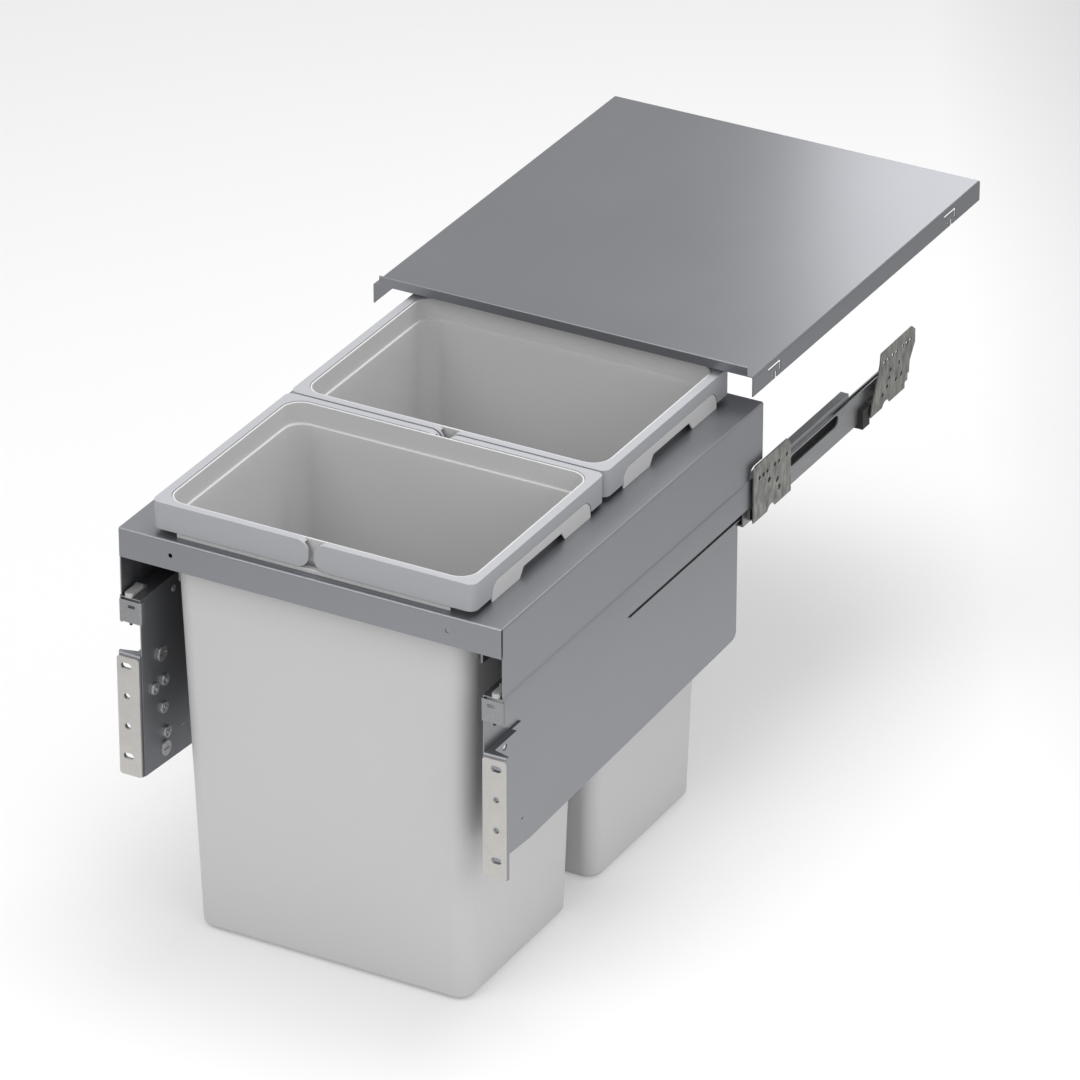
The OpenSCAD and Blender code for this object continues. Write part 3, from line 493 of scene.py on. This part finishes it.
def united(piece, parts):
    """Joins closed parts to a piece as one skin."""
    for part in parts:
        joint = piece.modifiers.new("joint", "BOOLEAN")
        joint.operation = "UNION"
        joint.solver = "EXACT"
        joint.object = part
    flattened(piece)
    for part in parts:
        bpy.data.objects.remove(part)


def ring(half_x, half_y, radius, z, steps):
    """Points of a rectangle with round corners, anticlockwise from above."""
    points = []
    for corner, (sx, sy) in enumerate(((1, 1), (-1, 1), (-1, -1), (1, -1))):
        for step in range(steps + 1):
            angle = math.pi / 2 * (corner + step / steps)
            points.append((
                sx * (half_x - radius) + radius * math.cos(angle),
                sy * (half_y - radius) + radius * math.sin(angle), z))
    return points


def loft(bm, rings, middle):
    """Joins rings of points into a skin and closes its ends."""
    rows = [[bm.verts.new(Vector(p) + middle) for p in points] for points in rings]
    for lower, upper in zip(rows, rows[1:]):
        count = len(lower)
        for i in range(count):
            j = (i + 1) % count
            bm.faces.new((lower[i], lower[j], upper[j], upper[i]))
    bm.faces.new(reversed(rows[0]))
    bm.faces.new(rows[-1])


def prism(name, outline, along):
    """A closed slab between an outline and the same outline moved along."""
    bm = bmesh.new()
    face = bm.faces.new([bm.verts.new(p) for p in outline])
    made = bmesh.ops.extrude_face_region(bm, geom=[face])
    moved = [v for v in made["geom"] if isinstance(v, bmesh.types.BMVert)]
    bmesh.ops.translate(bm, verts=moved, vec=along)
    bmesh.ops.recalc_face_normals(bm, faces=bm.faces)
    for face in bm.faces:
        face.smooth = True
    return object_of(name, bm)


def arc(middle, radius, start, end, steps):
    """Points of an arc in Y and Z, with its angles in degrees."""
    points = []
    for step in range(steps + 1):
        angle = math.radians(start + (end - start) * step / steps)
        points.append((middle[0] + radius * math.cos(angle), middle[1] + radius * math.sin(angle)))
    return points


def solids(node):
    """Boxes of a node's separate solids, sorted by their places."""
    bm = merged_copy(node)
    boxes = []
    seen = set()
    for first in bm.verts:
        if first.index in seen:
            continue
        seen.add(first.index)
        group = [first]
        for vert in group:
            for edge in vert.link_edges:
                other = edge.other_vert(vert)
                if other.index not in seen:
                    seen.add(other.index)
                    group.append(other)
        boxes.append((
            Vector(min(v.co[axis] for v in group) for axis in range(3)),
            Vector(max(v.co[axis] for v in group) for axis in range(3))))
    bm.free()
    return sorted(boxes, key=lambda box: tuple(round(c, 5) for c in box[0]))


# Node trees that repeat a turned piece

# How far a flat face of a turned piece leans, because a cone has a depth
STEP = 0.005 * MM
DOME_STEPS = 5


class Repeat:
    """A geometry node tree that sets a turned piece on points, along X or turned about."""

    def __init__(self, name, sizes):
        self.tree = bpy.data.node_groups.new(name, "GeometryNodeTree")
        self.tree.interface.new_socket("Points", in_out="INPUT", socket_type="NodeSocketGeometry")
        for size in sizes:
            kind = "NodeSocketInt" if size == "Sides" else "NodeSocketFloat"
            self.tree.interface.new_socket(size, in_out="INPUT", socket_type=kind)
        self.tree.interface.new_socket("Pieces", in_out="OUTPUT", socket_type="NodeSocketGeometry")
        self.inputs = self.tree.nodes.new("NodeGroupInput")
        self.start = Sock(self.tree, None)

    def size(self, name):
        """One of the tree's inputs."""
        return Sock(self.tree, self.inputs.outputs[name])

    def along_x(self, x):
        """A vector along X."""
        return self.start.node("ShaderNodeCombineXYZ", inputs={"X": x})

    def turned(self, profile):
        """A closed skin turned about X, from places along X and radii there."""
        bands = []
        for (x0, r0), (x1, r1) in zip(profile, profile[1:]):
            band = self.start.node(
                "GeometryNodeMeshCone", {"fill_type": "NONE"},
                {"Vertices": self.size("Sides"), "Radius Bottom": r0, "Radius Top": r1, "Depth": x1 - x0})
            bands.append(self.start.node(
                "GeometryNodeTransform", inputs={
                    "Geometry": band, "Translation": self.along_x(x0), "Rotation": (0, math.pi / 2, 0)}))
        joined = self.start.node("GeometryNodeJoinGeometry", inputs={"Geometry": bands})
        return self.start.node("GeometryNodeMergeByDistance", inputs={"Geometry": joined, "Distance": NEAR})

    def crossed(self, piece, length, width, depth):
        """Cuts a cross into the face where a piece starts."""
        bars = []
        for quarter in (0.25, 0.75):
            size = self.start.node(
                "ShaderNodeCombineXYZ", inputs={"X": 2.0 * depth, "Y": length, "Z": width})
            bar = self.start.node("GeometryNodeMeshCube", inputs={"Size": size})
            bars.append(self.start.node(
                "GeometryNodeTransform", inputs={"Geometry": bar, "Rotation": (math.pi * quarter, 0, 0)}))
        return self.start.node(
            "GeometryNodeMeshBoolean", {"operation": "DIFFERENCE", "solver": "EXACT"},
            {"Mesh 1": piece, "Mesh 2": bars})

    def finish(self, piece, finish):
        """Sets the piece on the points and ends the tree."""
        facing = self.start.node(
            "GeometryNodeInputNamedAttribute", {"data_type": "FLOAT"}, {"Name": "facing"})
        turn = self.start.node("ShaderNodeCombineXYZ", inputs={"Z": math.pi * facing.below(0.0)})
        set_out = self.start.node(
            "GeometryNodeInstanceOnPoints",
            inputs={"Points": self.size("Points"), "Instance": piece, "Rotation": turn})
        real = self.start.node("GeometryNodeRealizeInstances", inputs={"Geometry": set_out})
        dressed = self.start.node("GeometryNodeSetMaterial", inputs={"Geometry": real, "Material": finish})
        self.tree.links.new(dressed.value, self.tree.nodes.new("NodeGroupOutput").inputs["Pieces"])
        return self.tree


def roller_tree(finish):
    """Rollers with broken edges, from one end of each."""
    repeat = Repeat("rollers", ("Sides", "Diameter", "Length", "Edge"))
    radius = repeat.size("Diameter") * 0.5
    end = repeat.size("Length")
    edge = repeat.size("Edge")
    roller = repeat.turned([
        (0.0, 0.0), (STEP, radius - edge), (edge, radius),
        (end - edge, radius), (end - STEP, radius - edge), (end, 0.0)])
    return repeat.finish(roller, finish)


def rivet_tree(finish):
    """Rivets with a domed head and a flat closed end, from the tip of each dome."""
    repeat = Repeat("rivets", (
        "Sides", "Head Diameter", "Head Height", "Shank Diameter", "Length", "Tail Diameter", "Tail Height",
        "Edge"))
    head_r = repeat.size("Head Diameter") * 0.5
    head_h = repeat.size("Head Height")
    shank_r = repeat.size("Shank Diameter") * 0.5
    tail_r = repeat.size("Tail Diameter") * 0.5
    tail_h = repeat.size("Tail Height")
    end = repeat.size("Length")
    edge = repeat.size("Edge")
    profile = []
    for step in range(DOME_STEPS + 1):
        angle = math.pi / 2 * step / DOME_STEPS
        profile.append((head_h * (1 - math.cos(angle)), head_r * math.sin(angle)))
    profile += [
        (head_h + STEP, shank_r), (end - tail_h, shank_r), (end - tail_h + STEP, tail_r),
        (end - edge, tail_r), (end - STEP, tail_r - edge), (end, 0.0)]
    return repeat.finish(repeat.turned(profile), finish)


def screw_tree(finish):
    """Clamp screws with a broken head edge and a cross, from the face of each head."""
    repeat = Repeat("clamp_screws", (
        "Sides", "Head Diameter", "Head Height", "Shank Diameter", "Length", "Edge", "Recess Length",
        "Recess Width", "Recess Depth"))
    head_r = repeat.size("Head Diameter") * 0.5
    head_h = repeat.size("Head Height")
    shank_r = repeat.size("Shank Diameter") * 0.5
    end = repeat.size("Length")
    edge = repeat.size("Edge")
    screw = repeat.turned([
        (0.0, 0.0), (STEP, head_r - 3.0 * edge), (edge, head_r - edge), (3.0 * edge, head_r),
        (head_h, head_r), (head_h + STEP, shank_r), (end - edge, shank_r), (end - STEP, shank_r - edge),
        (end, 0.0)])
    screw = repeat.crossed(
        screw, repeat.size("Recess Length"), repeat.size("Recess Width"), repeat.size("Recess Depth"))
    return repeat.finish(screw, finish)


def repeated(node, tree, heads_inside, values):
    """Runs a tree on the head ends of a node's solids, in the node's place."""
    bm = bmesh.new()
    facing = bm.verts.layers.float.new("facing")
    for low, high in solids(node):
        side = 1.0 if low.x > 0 else -1.0
        along = side if heads_inside else -side
        start = low.x if along > 0 else high.x
        vert = bm.verts.new((start, (low.y + high.y) / 2, (low.z + high.z) / 2))
        vert[facing] = along
    piece = object_of(node + "_turned", bm)
    modifier = piece.modifiers.new("repeat", "NODES")
    modifier.node_group = tree
    for item in tree.interface.items_tree:
        if item.name in values:
            modifier[item.identifier] = values[item.name]
    smooth_by_angle(flattened(piece), TURNED_ANGLE)
    return seat_piece(piece, node)


def size_of(node):
    """Size of the first solid of a node."""
    low, high = solids(node)[0]
    return high - low


# Bins

# Rounding of the collar's edges, and the share of it that a point at its middle lies in
SOFT = 0.6 * MM
BEND = 0.3

# A ring divides the tall walls at this share of the depth
WALL_RING = 0.3

MIN_RADIUS = 2 * MM
FLOOR_STEPS = 6
FOOT_STEPS = 8
STUD_SIDES = 24


def body_half(sizes, z):
    """Half width, half length and corner radius of a bin's outside at a level."""
    share = -z / sizes.depth
    return (
        sizes.neck_x + (sizes.floor_x - sizes.neck_x) * share,
        sizes.neck_y + (sizes.floor_y - sizes.neck_y) * share,
        sizes.neck_r + (sizes.floor_r - sizes.neck_r) * share)


def body_ring(sizes, z, inset):
    """Ring of a bin's wall at a level, drawn in by an inset."""
    x, y, r = body_half(sizes, z)
    return ring(x - inset, y - inset, max(r - inset, MIN_RADIUS), z, sizes.corner_steps)


def floor_rings(sizes, floor_z, inset):
    """Rings round the curve between a floor and the walls, from the floor up."""
    rings = []
    radius = sizes.floor_round
    for step in range(FLOOR_STEPS + 1):
        angle = math.pi / 2 * step / FLOOR_STEPS
        rings.append(body_ring(
            sizes, floor_z + radius * (1 - math.cos(angle)), inset + radius * (1 - math.sin(angle))))
    return rings


def collar_ring(sizes, z, inset):
    """Ring of the collar at a level, drawn in by an inset."""
    return ring(
        sizes.collar_x - inset, sizes.collar_y - inset, sizes.collar_r - inset, z, sizes.corner_steps)


def bin_rings(sizes, top):
    """Rings of a bin from the outside of its floor, over the rim, to the inside of its floor."""
    wall = sizes.wall
    ledge = sizes.ledge
    bend = BEND * SOFT
    wall_ring = -WALL_RING * sizes.depth
    outside = floor_rings(sizes, -sizes.depth, 0.0)
    outside += [body_ring(sizes, z, 0.0) for z in (wall_ring, 0.0, ledge - wall - SOFT)]
    outside += [
        collar_ring(sizes, ledge - wall, SOFT), collar_ring(sizes, ledge - wall + SOFT, 0.0),
        collar_ring(sizes, top - SOFT, 0.0), collar_ring(sizes, top - bend, bend),
        collar_ring(sizes, top, SOFT)]
    inside = [
        collar_ring(sizes, top, wall - SOFT), collar_ring(sizes, top - bend, wall - bend),
        collar_ring(sizes, top - SOFT, wall), collar_ring(sizes, ledge + SOFT, wall),
        collar_ring(sizes, ledge, wall + SOFT)]
    inside += [body_ring(sizes, ledge, wall - SOFT), body_ring(sizes, ledge - SOFT, wall)]
    inside += [body_ring(sizes, z, wall) for z in (0.0, wall_ring)]
    inside += reversed(floor_rings(sizes, -sizes.depth + wall, wall))
    return outside + inside


def side_rib(sizes, side, middle):
    """Outside of a bin's side shelf, with its two feet and the finger gap between them."""
    top = sizes.shelf
    r = sizes.foot_r
    outline = [(sizes.foot_front, 0.0)]
    outline += arc((sizes.foot_front + r, top - r), r, 180, 90, FOOT_STEPS)
    outline += arc((sizes.foot_back - r, top - r), r, 90, 0, FOOT_STEPS)
    outline += [
        (sizes.foot_back, 0.0), (sizes.grip_back, 0.0),
        (sizes.grip_back - sizes.grip_slope, sizes.grip_height),
        (sizes.grip_front + sizes.grip_slope, sizes.grip_height), (sizes.grip_front, 0.0)]
    x = side * (sizes.rim_x - sizes.wall)
    points = [Vector((x, y, z)) + middle for y, z in outline]
    rib_edge = bpy.context.scene.edge_sizes.rib
    return rounded(prism("side_rib", points, (side * sizes.wall, 0.0, 0.0)), rib_edge)


def block(name, low, high, middle):
    """A closed block between two corners."""
    outline = [
        Vector((low[0], low[1], low[2])), Vector((high[0], low[1], low[2])),
        Vector((high[0], high[1], low[2])), Vector((low[0], high[1], low[2]))]
    return prism(name, [p + middle for p in outline], (0.0, 0.0, high[2] - low[2]))


def bin_parts(sizes, middle):
    """Shelves, feet, skirts and studs that are moulded on a bin."""
    parts = []
    wall = sizes.wall
    tuck = 0.25 * wall
    rib_edge = bpy.context.scene.edge_sizes.rib
    for side in (-1, 1):
        parts.append(side_rib(sizes, side, middle))
        x = sorted((side * (sizes.collar_x - tuck), side * (sizes.rim_x - tuck)))
        parts.append(block(
            "shelf", (x[0], sizes.foot_front + 0.5 * sizes.foot_r, sizes.shelf - wall),
            (x[1], sizes.foot_back - 0.5 * sizes.foot_r, sizes.shelf - tuck), middle))
    for end in (-1, 1):
        out = end * (sizes.rim_y - sizes.skirt_in)
        y = sorted((out, out - end * wall))
        skirt = block(
            "skirt", (-sizes.skirt_x, y[0], 0.0), (sizes.skirt_x, y[1], sizes.skirt_height), middle)
        parts.append(rounded(skirt, rib_edge))
        y = sorted((out - end * tuck, end * (sizes.neck_y - tuck)))
        parts.append(block(
            "skirt_top", (-sizes.skirt_x + tuck, y[0], sizes.skirt_height - wall),
            (sizes.skirt_x - tuck, y[1], sizes.skirt_height - tuck), middle))
        for x in (-sizes.stud_x, sizes.stud_x):
            outline = []
            for step in range(STUD_SIDES):
                angle = math.tau * step / STUD_SIDES
                outline.append(middle + Vector((
                    x + sizes.stud_r * math.cos(angle), end * (sizes.collar_y - 0.5 * wall),
                    sizes.stud_z + sizes.stud_r * math.sin(angle))))
            reach = sizes.rim_y - sizes.stud_gap - sizes.collar_y + 0.5 * wall
            parts.append(prism("stud", outline, (0.0, end * reach, 0.0)))
    return parts


def make_bin(node):
    """A bin's moulding in the place of its node."""
    sizes = bpy.context.scene.bin_sizes
    low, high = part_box(node)
    middle = Vector(((low.x + high.x) / 2, (low.y + high.y) / 2, 0.0))
    bm = bmesh.new()
    loft(bm, bin_rings(sizes, high.z), middle)
    piece = object_of(node + "_moulding", bm)
    united(piece, bin_parts(sizes, middle))
    smooth_by_angle(piece, EDGE_ANGLE)
    return seat_piece(piece, node)


# Operators, one for each piece or group of like pieces


class BINFRAME_OT_bins(bpy.types.Operator):
    """Build the two bins"""

    bl_idname = "binframe.bins"
    bl_label = "Bins"

    def execute(self, context):
        for which in BINS:
            make_bin(which + "_bin")
        return {"FINISHED"}


class BINFRAME_OT_handles(bpy.types.Operator):
    """Build the swing handles of both bins"""

    bl_idname = "binframe.handles"
    bl_label = "Handles"

    def execute(self, context):
        width = context.scene.edge_sizes.moulded
        for which in BINS:
            for side in SIDES:
                broken_edges("%s_bin_handle_%s" % (which, side), width, segments=3)
        return {"FINISHED"}


def broken_pairs(parts, width):
    """Breaks the edges of parts that have a left and a right piece."""
    for part in parts:
        for side in SIDES:
            broken_edges(part + "_" + side, width)


class BINFRAME_OT_frame(bpy.types.Operator):
    """Build the tray and the side plates"""

    bl_idname = "binframe.frame"
    bl_label = "Tray and side plates"

    def execute(self, context):
        width = context.scene.edge_sizes.sheet
        broken_edges("frame_tray", width)
        broken_pairs(("side_plate",), width)
        return {"FINISHED"}


class BINFRAME_OT_brackets(bpy.types.Operator):
    """Build the door brackets, their arms and their cams"""

    bl_idname = "binframe.brackets"
    bl_label = "Door brackets"

    def execute(self, context):
        sizes = context.scene.edge_sizes
        broken_pairs(("door_bracket", "bracket_arm"), sizes.sheet)
        broken_pairs(("upper_cam", "lower_cam"), sizes.turned)
        return {"FINISHED"}


class BINFRAME_OT_runners(bpy.types.Operator):
    """Build the rails, their caps and buffers, the cages and the release levers"""

    bl_idname = "binframe.runners"
    bl_label = "Runners"

    def execute(self, context):
        sizes = context.scene.edge_sizes
        rails = ("drawer_rail", "middle_rail", "cabinet_rail", "rail_front_cap")
        broken_pairs(rails + ("lower_cage", "upper_cage"), sizes.sheet)
        broken_pairs(("release_lever",), sizes.turned)
        broken_edges("cap_buffers", sizes.sheet)
        broken_edges("lever_pins", sizes.turned)
        return {"FINISHED"}


class BINFRAME_OT_rollers(bpy.types.Operator):
    """Build the rollers in the cages"""

    bl_idname = "binframe.rollers"
    bl_label = "Rollers"

    def execute(self, context):
        tree = roller_tree(material("bright_steel"))
        sizes = context.scene.fastener_sizes
        for node in ("lower_rollers", "upper_rollers"):
            for side in SIDES:
                size = size_of(node + "_" + side)
                repeated(node + "_" + side, tree, True, {
                    "Sides": sizes.sides, "Diameter": size.z, "Length": size.x,
                    "Edge": context.scene.edge_sizes.turned})
        return {"FINISHED"}


class BINFRAME_OT_wall_plates(bpy.types.Operator):
    """Build the wall plates and the clips under the cabinet rails"""

    bl_idname = "binframe.wall_plates"
    bl_label = "Wall plates"

    def execute(self, context):
        broken_pairs(("front_wall_plate", "rear_wall_plate", "rail_clip"), context.scene.edge_sizes.sheet)
        return {"FINISHED"}


class BINFRAME_OT_fasteners(bpy.types.Operator):
    """Build the rivets and the clamp screws"""

    bl_idname = "binframe.fasteners"
    bl_label = "Rivets and screws"

    def execute(self, context):
        sizes = context.scene.fastener_sizes
        edge = context.scene.edge_sizes.turned
        tree = rivet_tree(material("bright_steel"))
        for node, heads_inside in (("frame_rivets", True), ("wall_plate_rivets", False)):
            size = size_of(node)
            repeated(node, tree, heads_inside, {
                "Sides": sizes.sides, "Head Diameter": size.z, "Head Height": sizes.rivet_head,
                "Shank Diameter": sizes.rivet_shank, "Length": size.x,
                "Tail Diameter": sizes.rivet_tail_width, "Tail Height": sizes.rivet_tail, "Edge": edge})
        tree = screw_tree(material("bright_steel"))
        for side in SIDES:
            size = size_of("bracket_screws_" + side)
            repeated("bracket_screws_" + side, tree, True, {
                "Sides": sizes.sides, "Head Diameter": size.z, "Head Height": sizes.screw_head,
                "Shank Diameter": sizes.screw_shank, "Length": size.x, "Edge": edge,
                "Recess Length": sizes.recess_length, "Recess Width": sizes.recess_width,
                "Recess Depth": sizes.recess_depth})
        return {"FINISHED"}


class BINFRAME_OT_lid(bpy.types.Operator):
    """Build the lid"""

    bl_idname = "binframe.lid"
    bl_label = "Lid"

    def execute(self, context):
        broken_edges("lid", context.scene.edge_sizes.sheet)
        return {"FINISHED"}


# How far each lamp is from what it lights, and its width
KEY_AWAY, KEY_WIDTH = Vector((-0.9, -2.2, 2.2)), 1.8
TOP_AWAY, TOP_WIDTH = Vector((0.2, 0.2, 2.6)), 1.6
FILL_AWAY, FILL_WIDTH = Vector((0.9, -0.7, 1.2)), 0.9
SHEEN_WIDTH = 0.4

FLOOR_REACH = 14.0
FLOOR_GAP = 2 * MM

# Painted shade on the floor, which the metal mirrors as a painted reflection: how light the floor is at
# places across its shaded stretch, from 0 on the left to 1 on the right
FLOOR_SPAN = 2.0
FLOOR_PAINTED_SHADE = ((0.0, 0.80), (0.15, 1.0), (0.72, 1.0), (0.95, 0.60))

SENSOR_WIDTH = 36.0
CLIP_END = 100.0


def area_light(name, target, away, size, power):
    """A soft square lamp, some way from a target and facing it."""
    place = target + away
    lamp = bpy.data.lights.new(name, "AREA")
    lamp.shape = "SQUARE"
    lamp.size = size
    lamp.energy = power
    made = bpy.data.objects.new(name, lamp)
    made.visible_camera = False
    made.location = place
    made.rotation_euler = (target - place).to_track_quat("-Z", "Y").to_euler()
    bpy.context.scene.collection.objects.link(made)


def seen(start):
    """1 for what the camera, metal and glass see, 0 for what lights the object."""
    rays = ("Is Camera Ray", "Is Glossy Ray", "Is Transmission Ray")
    camera, glossy, through = [start.node("ShaderNodeLightPath", output=ray) for ray in rays]
    return camera + glossy + through


def shown(tree, kind, shader):
    """Links a shader to the output of a tree."""
    output = next(n for n in tree.nodes if n.type == kind)
    tree.links.new(shader.value, output.inputs["Surface"])


def make_floor(low, middle, settings, shade):
    """A wide pale floor just under the object, with painted shade that makes it a little darker away to both
    sides.
    """
    bm = bmesh.new()
    bmesh.ops.create_grid(bm, x_segments=1, y_segments=1, size=FLOOR_REACH)
    floor = object_of("floor", bm)
    floor.location = (middle.x, middle.y, low.z - FLOOR_GAP)
    finish = Finish("floor")
    across = (math.cos(settings.yaw) / FLOOR_SPAN, math.sin(settings.yaw) / FLOOR_SPAN, 0.0)
    aside = finish.start.node(
        "ShaderNodeVectorMath", {"operation": "DOT_PRODUCT"}, {0: finish.place, 1: across}, output="Value")
    # Painted shade: this ramp darkens the floor's colour and glow away to both sides, and the metal mirrors
    # it
    stops = [(place, (level, level, level)) for place, level in FLOOR_PAINTED_SHADE]
    level = finish.start.node("ShaderNodeValToRGB", {"stops": stops}, {0: aside + 0.5})
    finish.set(base_color=finish.shades(level, BLACK, shade), roughness=0.9)
    glow = finish.start.node("ShaderNodeEmission", inputs={"Color": level, "Strength": settings.floor_glow})
    mixed = finish.start.node("ShaderNodeMixShader", inputs={
        0: settings.floor_lift * seen(finish.start), 1: finish.shader.outputs[0], 2: glow})
    shown(finish.tree, "OUTPUT_MATERIAL", mixed)
    floor.data.materials.append(finish.material)


def make_world(settings):
    """Even light round the object, with a pale backdrop for the camera and metal."""
    world = bpy.data.worlds.new("studio")
    world.use_nodes = True
    start = Sock(world.node_tree, None)
    light, backdrop = [
        start.node("ShaderNodeBackground", inputs={"Color": (*WHITE, 1.0), "Strength": strength})
        for strength in (settings.daylight, settings.backdrop)]
    mixed = start.node("ShaderNodeMixShader", inputs={0: seen(start), 1: light, 2: backdrop})
    shown(world.node_tree, "OUTPUT_WORLD", mixed)
    bpy.context.scene.world = world


class BINFRAME_OT_stage(bpy.types.Operator):
    """Set the floor, the lights and the camera"""

    bl_idname = "binframe.stage"
    bl_label = "Stage"

    def execute(self, context):
        scene = context.scene
        settings = scene.stage_settings
        low, high = CAD_BOX
        middle = (low + high) / 2
        make_floor(low, middle, settings, scene.bin_finishes.floor)
        make_world(settings)
        area_light("key", middle, KEY_AWAY, KEY_WIDTH, settings.key)
        area_light("top", middle, TOP_AWAY, TOP_WIDTH, settings.top)
        beside = Vector((high.x + 0.25, middle.y - 0.2, low.z))
        area_light("fill", beside, FILL_AWAY, FILL_WIDTH, settings.fill)
        far_corner = Vector((high.x + 0.08, high.y + 0.03, high.z))
        mirrored = Vector((-math.sin(settings.yaw), math.cos(settings.yaw), math.tan(settings.pitch)))
        area_light("sheen", far_corner, mirrored, SHEEN_WIDTH, settings.sheen)

        camera = bpy.data.objects.new("camera", bpy.data.cameras.new("camera"))
        camera.data.sensor_width = SENSOR_WIDTH
        camera.data.lens = settings.focal_length
        camera.data.clip_end = CLIP_END
        camera.location = settings.camera_place
        camera.rotation_euler = (math.pi / 2 - settings.pitch, 0.0, settings.yaw)
        scene.collection.objects.link(camera)
        scene.camera = camera
        scene.view_settings.view_transform = "Standard"
        return {"FINISHED"}


class BINFRAME_PT_panel(bpy.types.Panel):
    """Lists what the frame is dressed with"""

    bl_label = "Bin frame"
    bl_idname = "BINFRAME_PT_panel"
    bl_space_type = "VIEW_3D"
    bl_region_type = "UI"
    bl_category = "Bin frame"

    def draw(self, context):
        for operator in OPERATORS:
            self.layout.operator(operator.bl_idname)
        for name, group in SETTINGS.items():
            box = self.layout.box()
            for key in group.__annotations__:
                box.prop(getattr(context.scene, name), key)


OPERATORS = (
    BINFRAME_OT_bins, BINFRAME_OT_handles, BINFRAME_OT_frame, BINFRAME_OT_brackets, BINFRAME_OT_runners,
    BINFRAME_OT_rollers, BINFRAME_OT_wall_plates, BINFRAME_OT_fasteners, BINFRAME_OT_lid, BINFRAME_OT_stage)
SETTINGS = {
    "bin_sizes": BinSizes, "edge_sizes": EdgeSizes, "fastener_sizes": FastenerSizes,
    "bin_finishes": Finishes, "stage_settings": StageSettings}
CLASSES = (*SETTINGS.values(), *OPERATORS, BINFRAME_PT_panel)


def register():
    """Registers the classes and gives the scene its settings."""
    for made in CLASSES:
        bpy.utils.register_class(made)
    for name, group in SETTINGS.items():
        setattr(bpy.types.Scene, name, PointerProperty(type=group))


def unregister():
    """Takes the settings and the classes away again."""
    for name in SETTINGS:
        delattr(bpy.types.Scene, name)
    for made in reversed(CLASSES):
        bpy.utils.unregister_class(made)


def main():
    """Dresses the frame."""
    register()
    for operator in OPERATORS:
        module, name = operator.bl_idname.split(".")
        getattr(getattr(bpy.ops, module), name)()


if __name__ == "__main__":
    main()
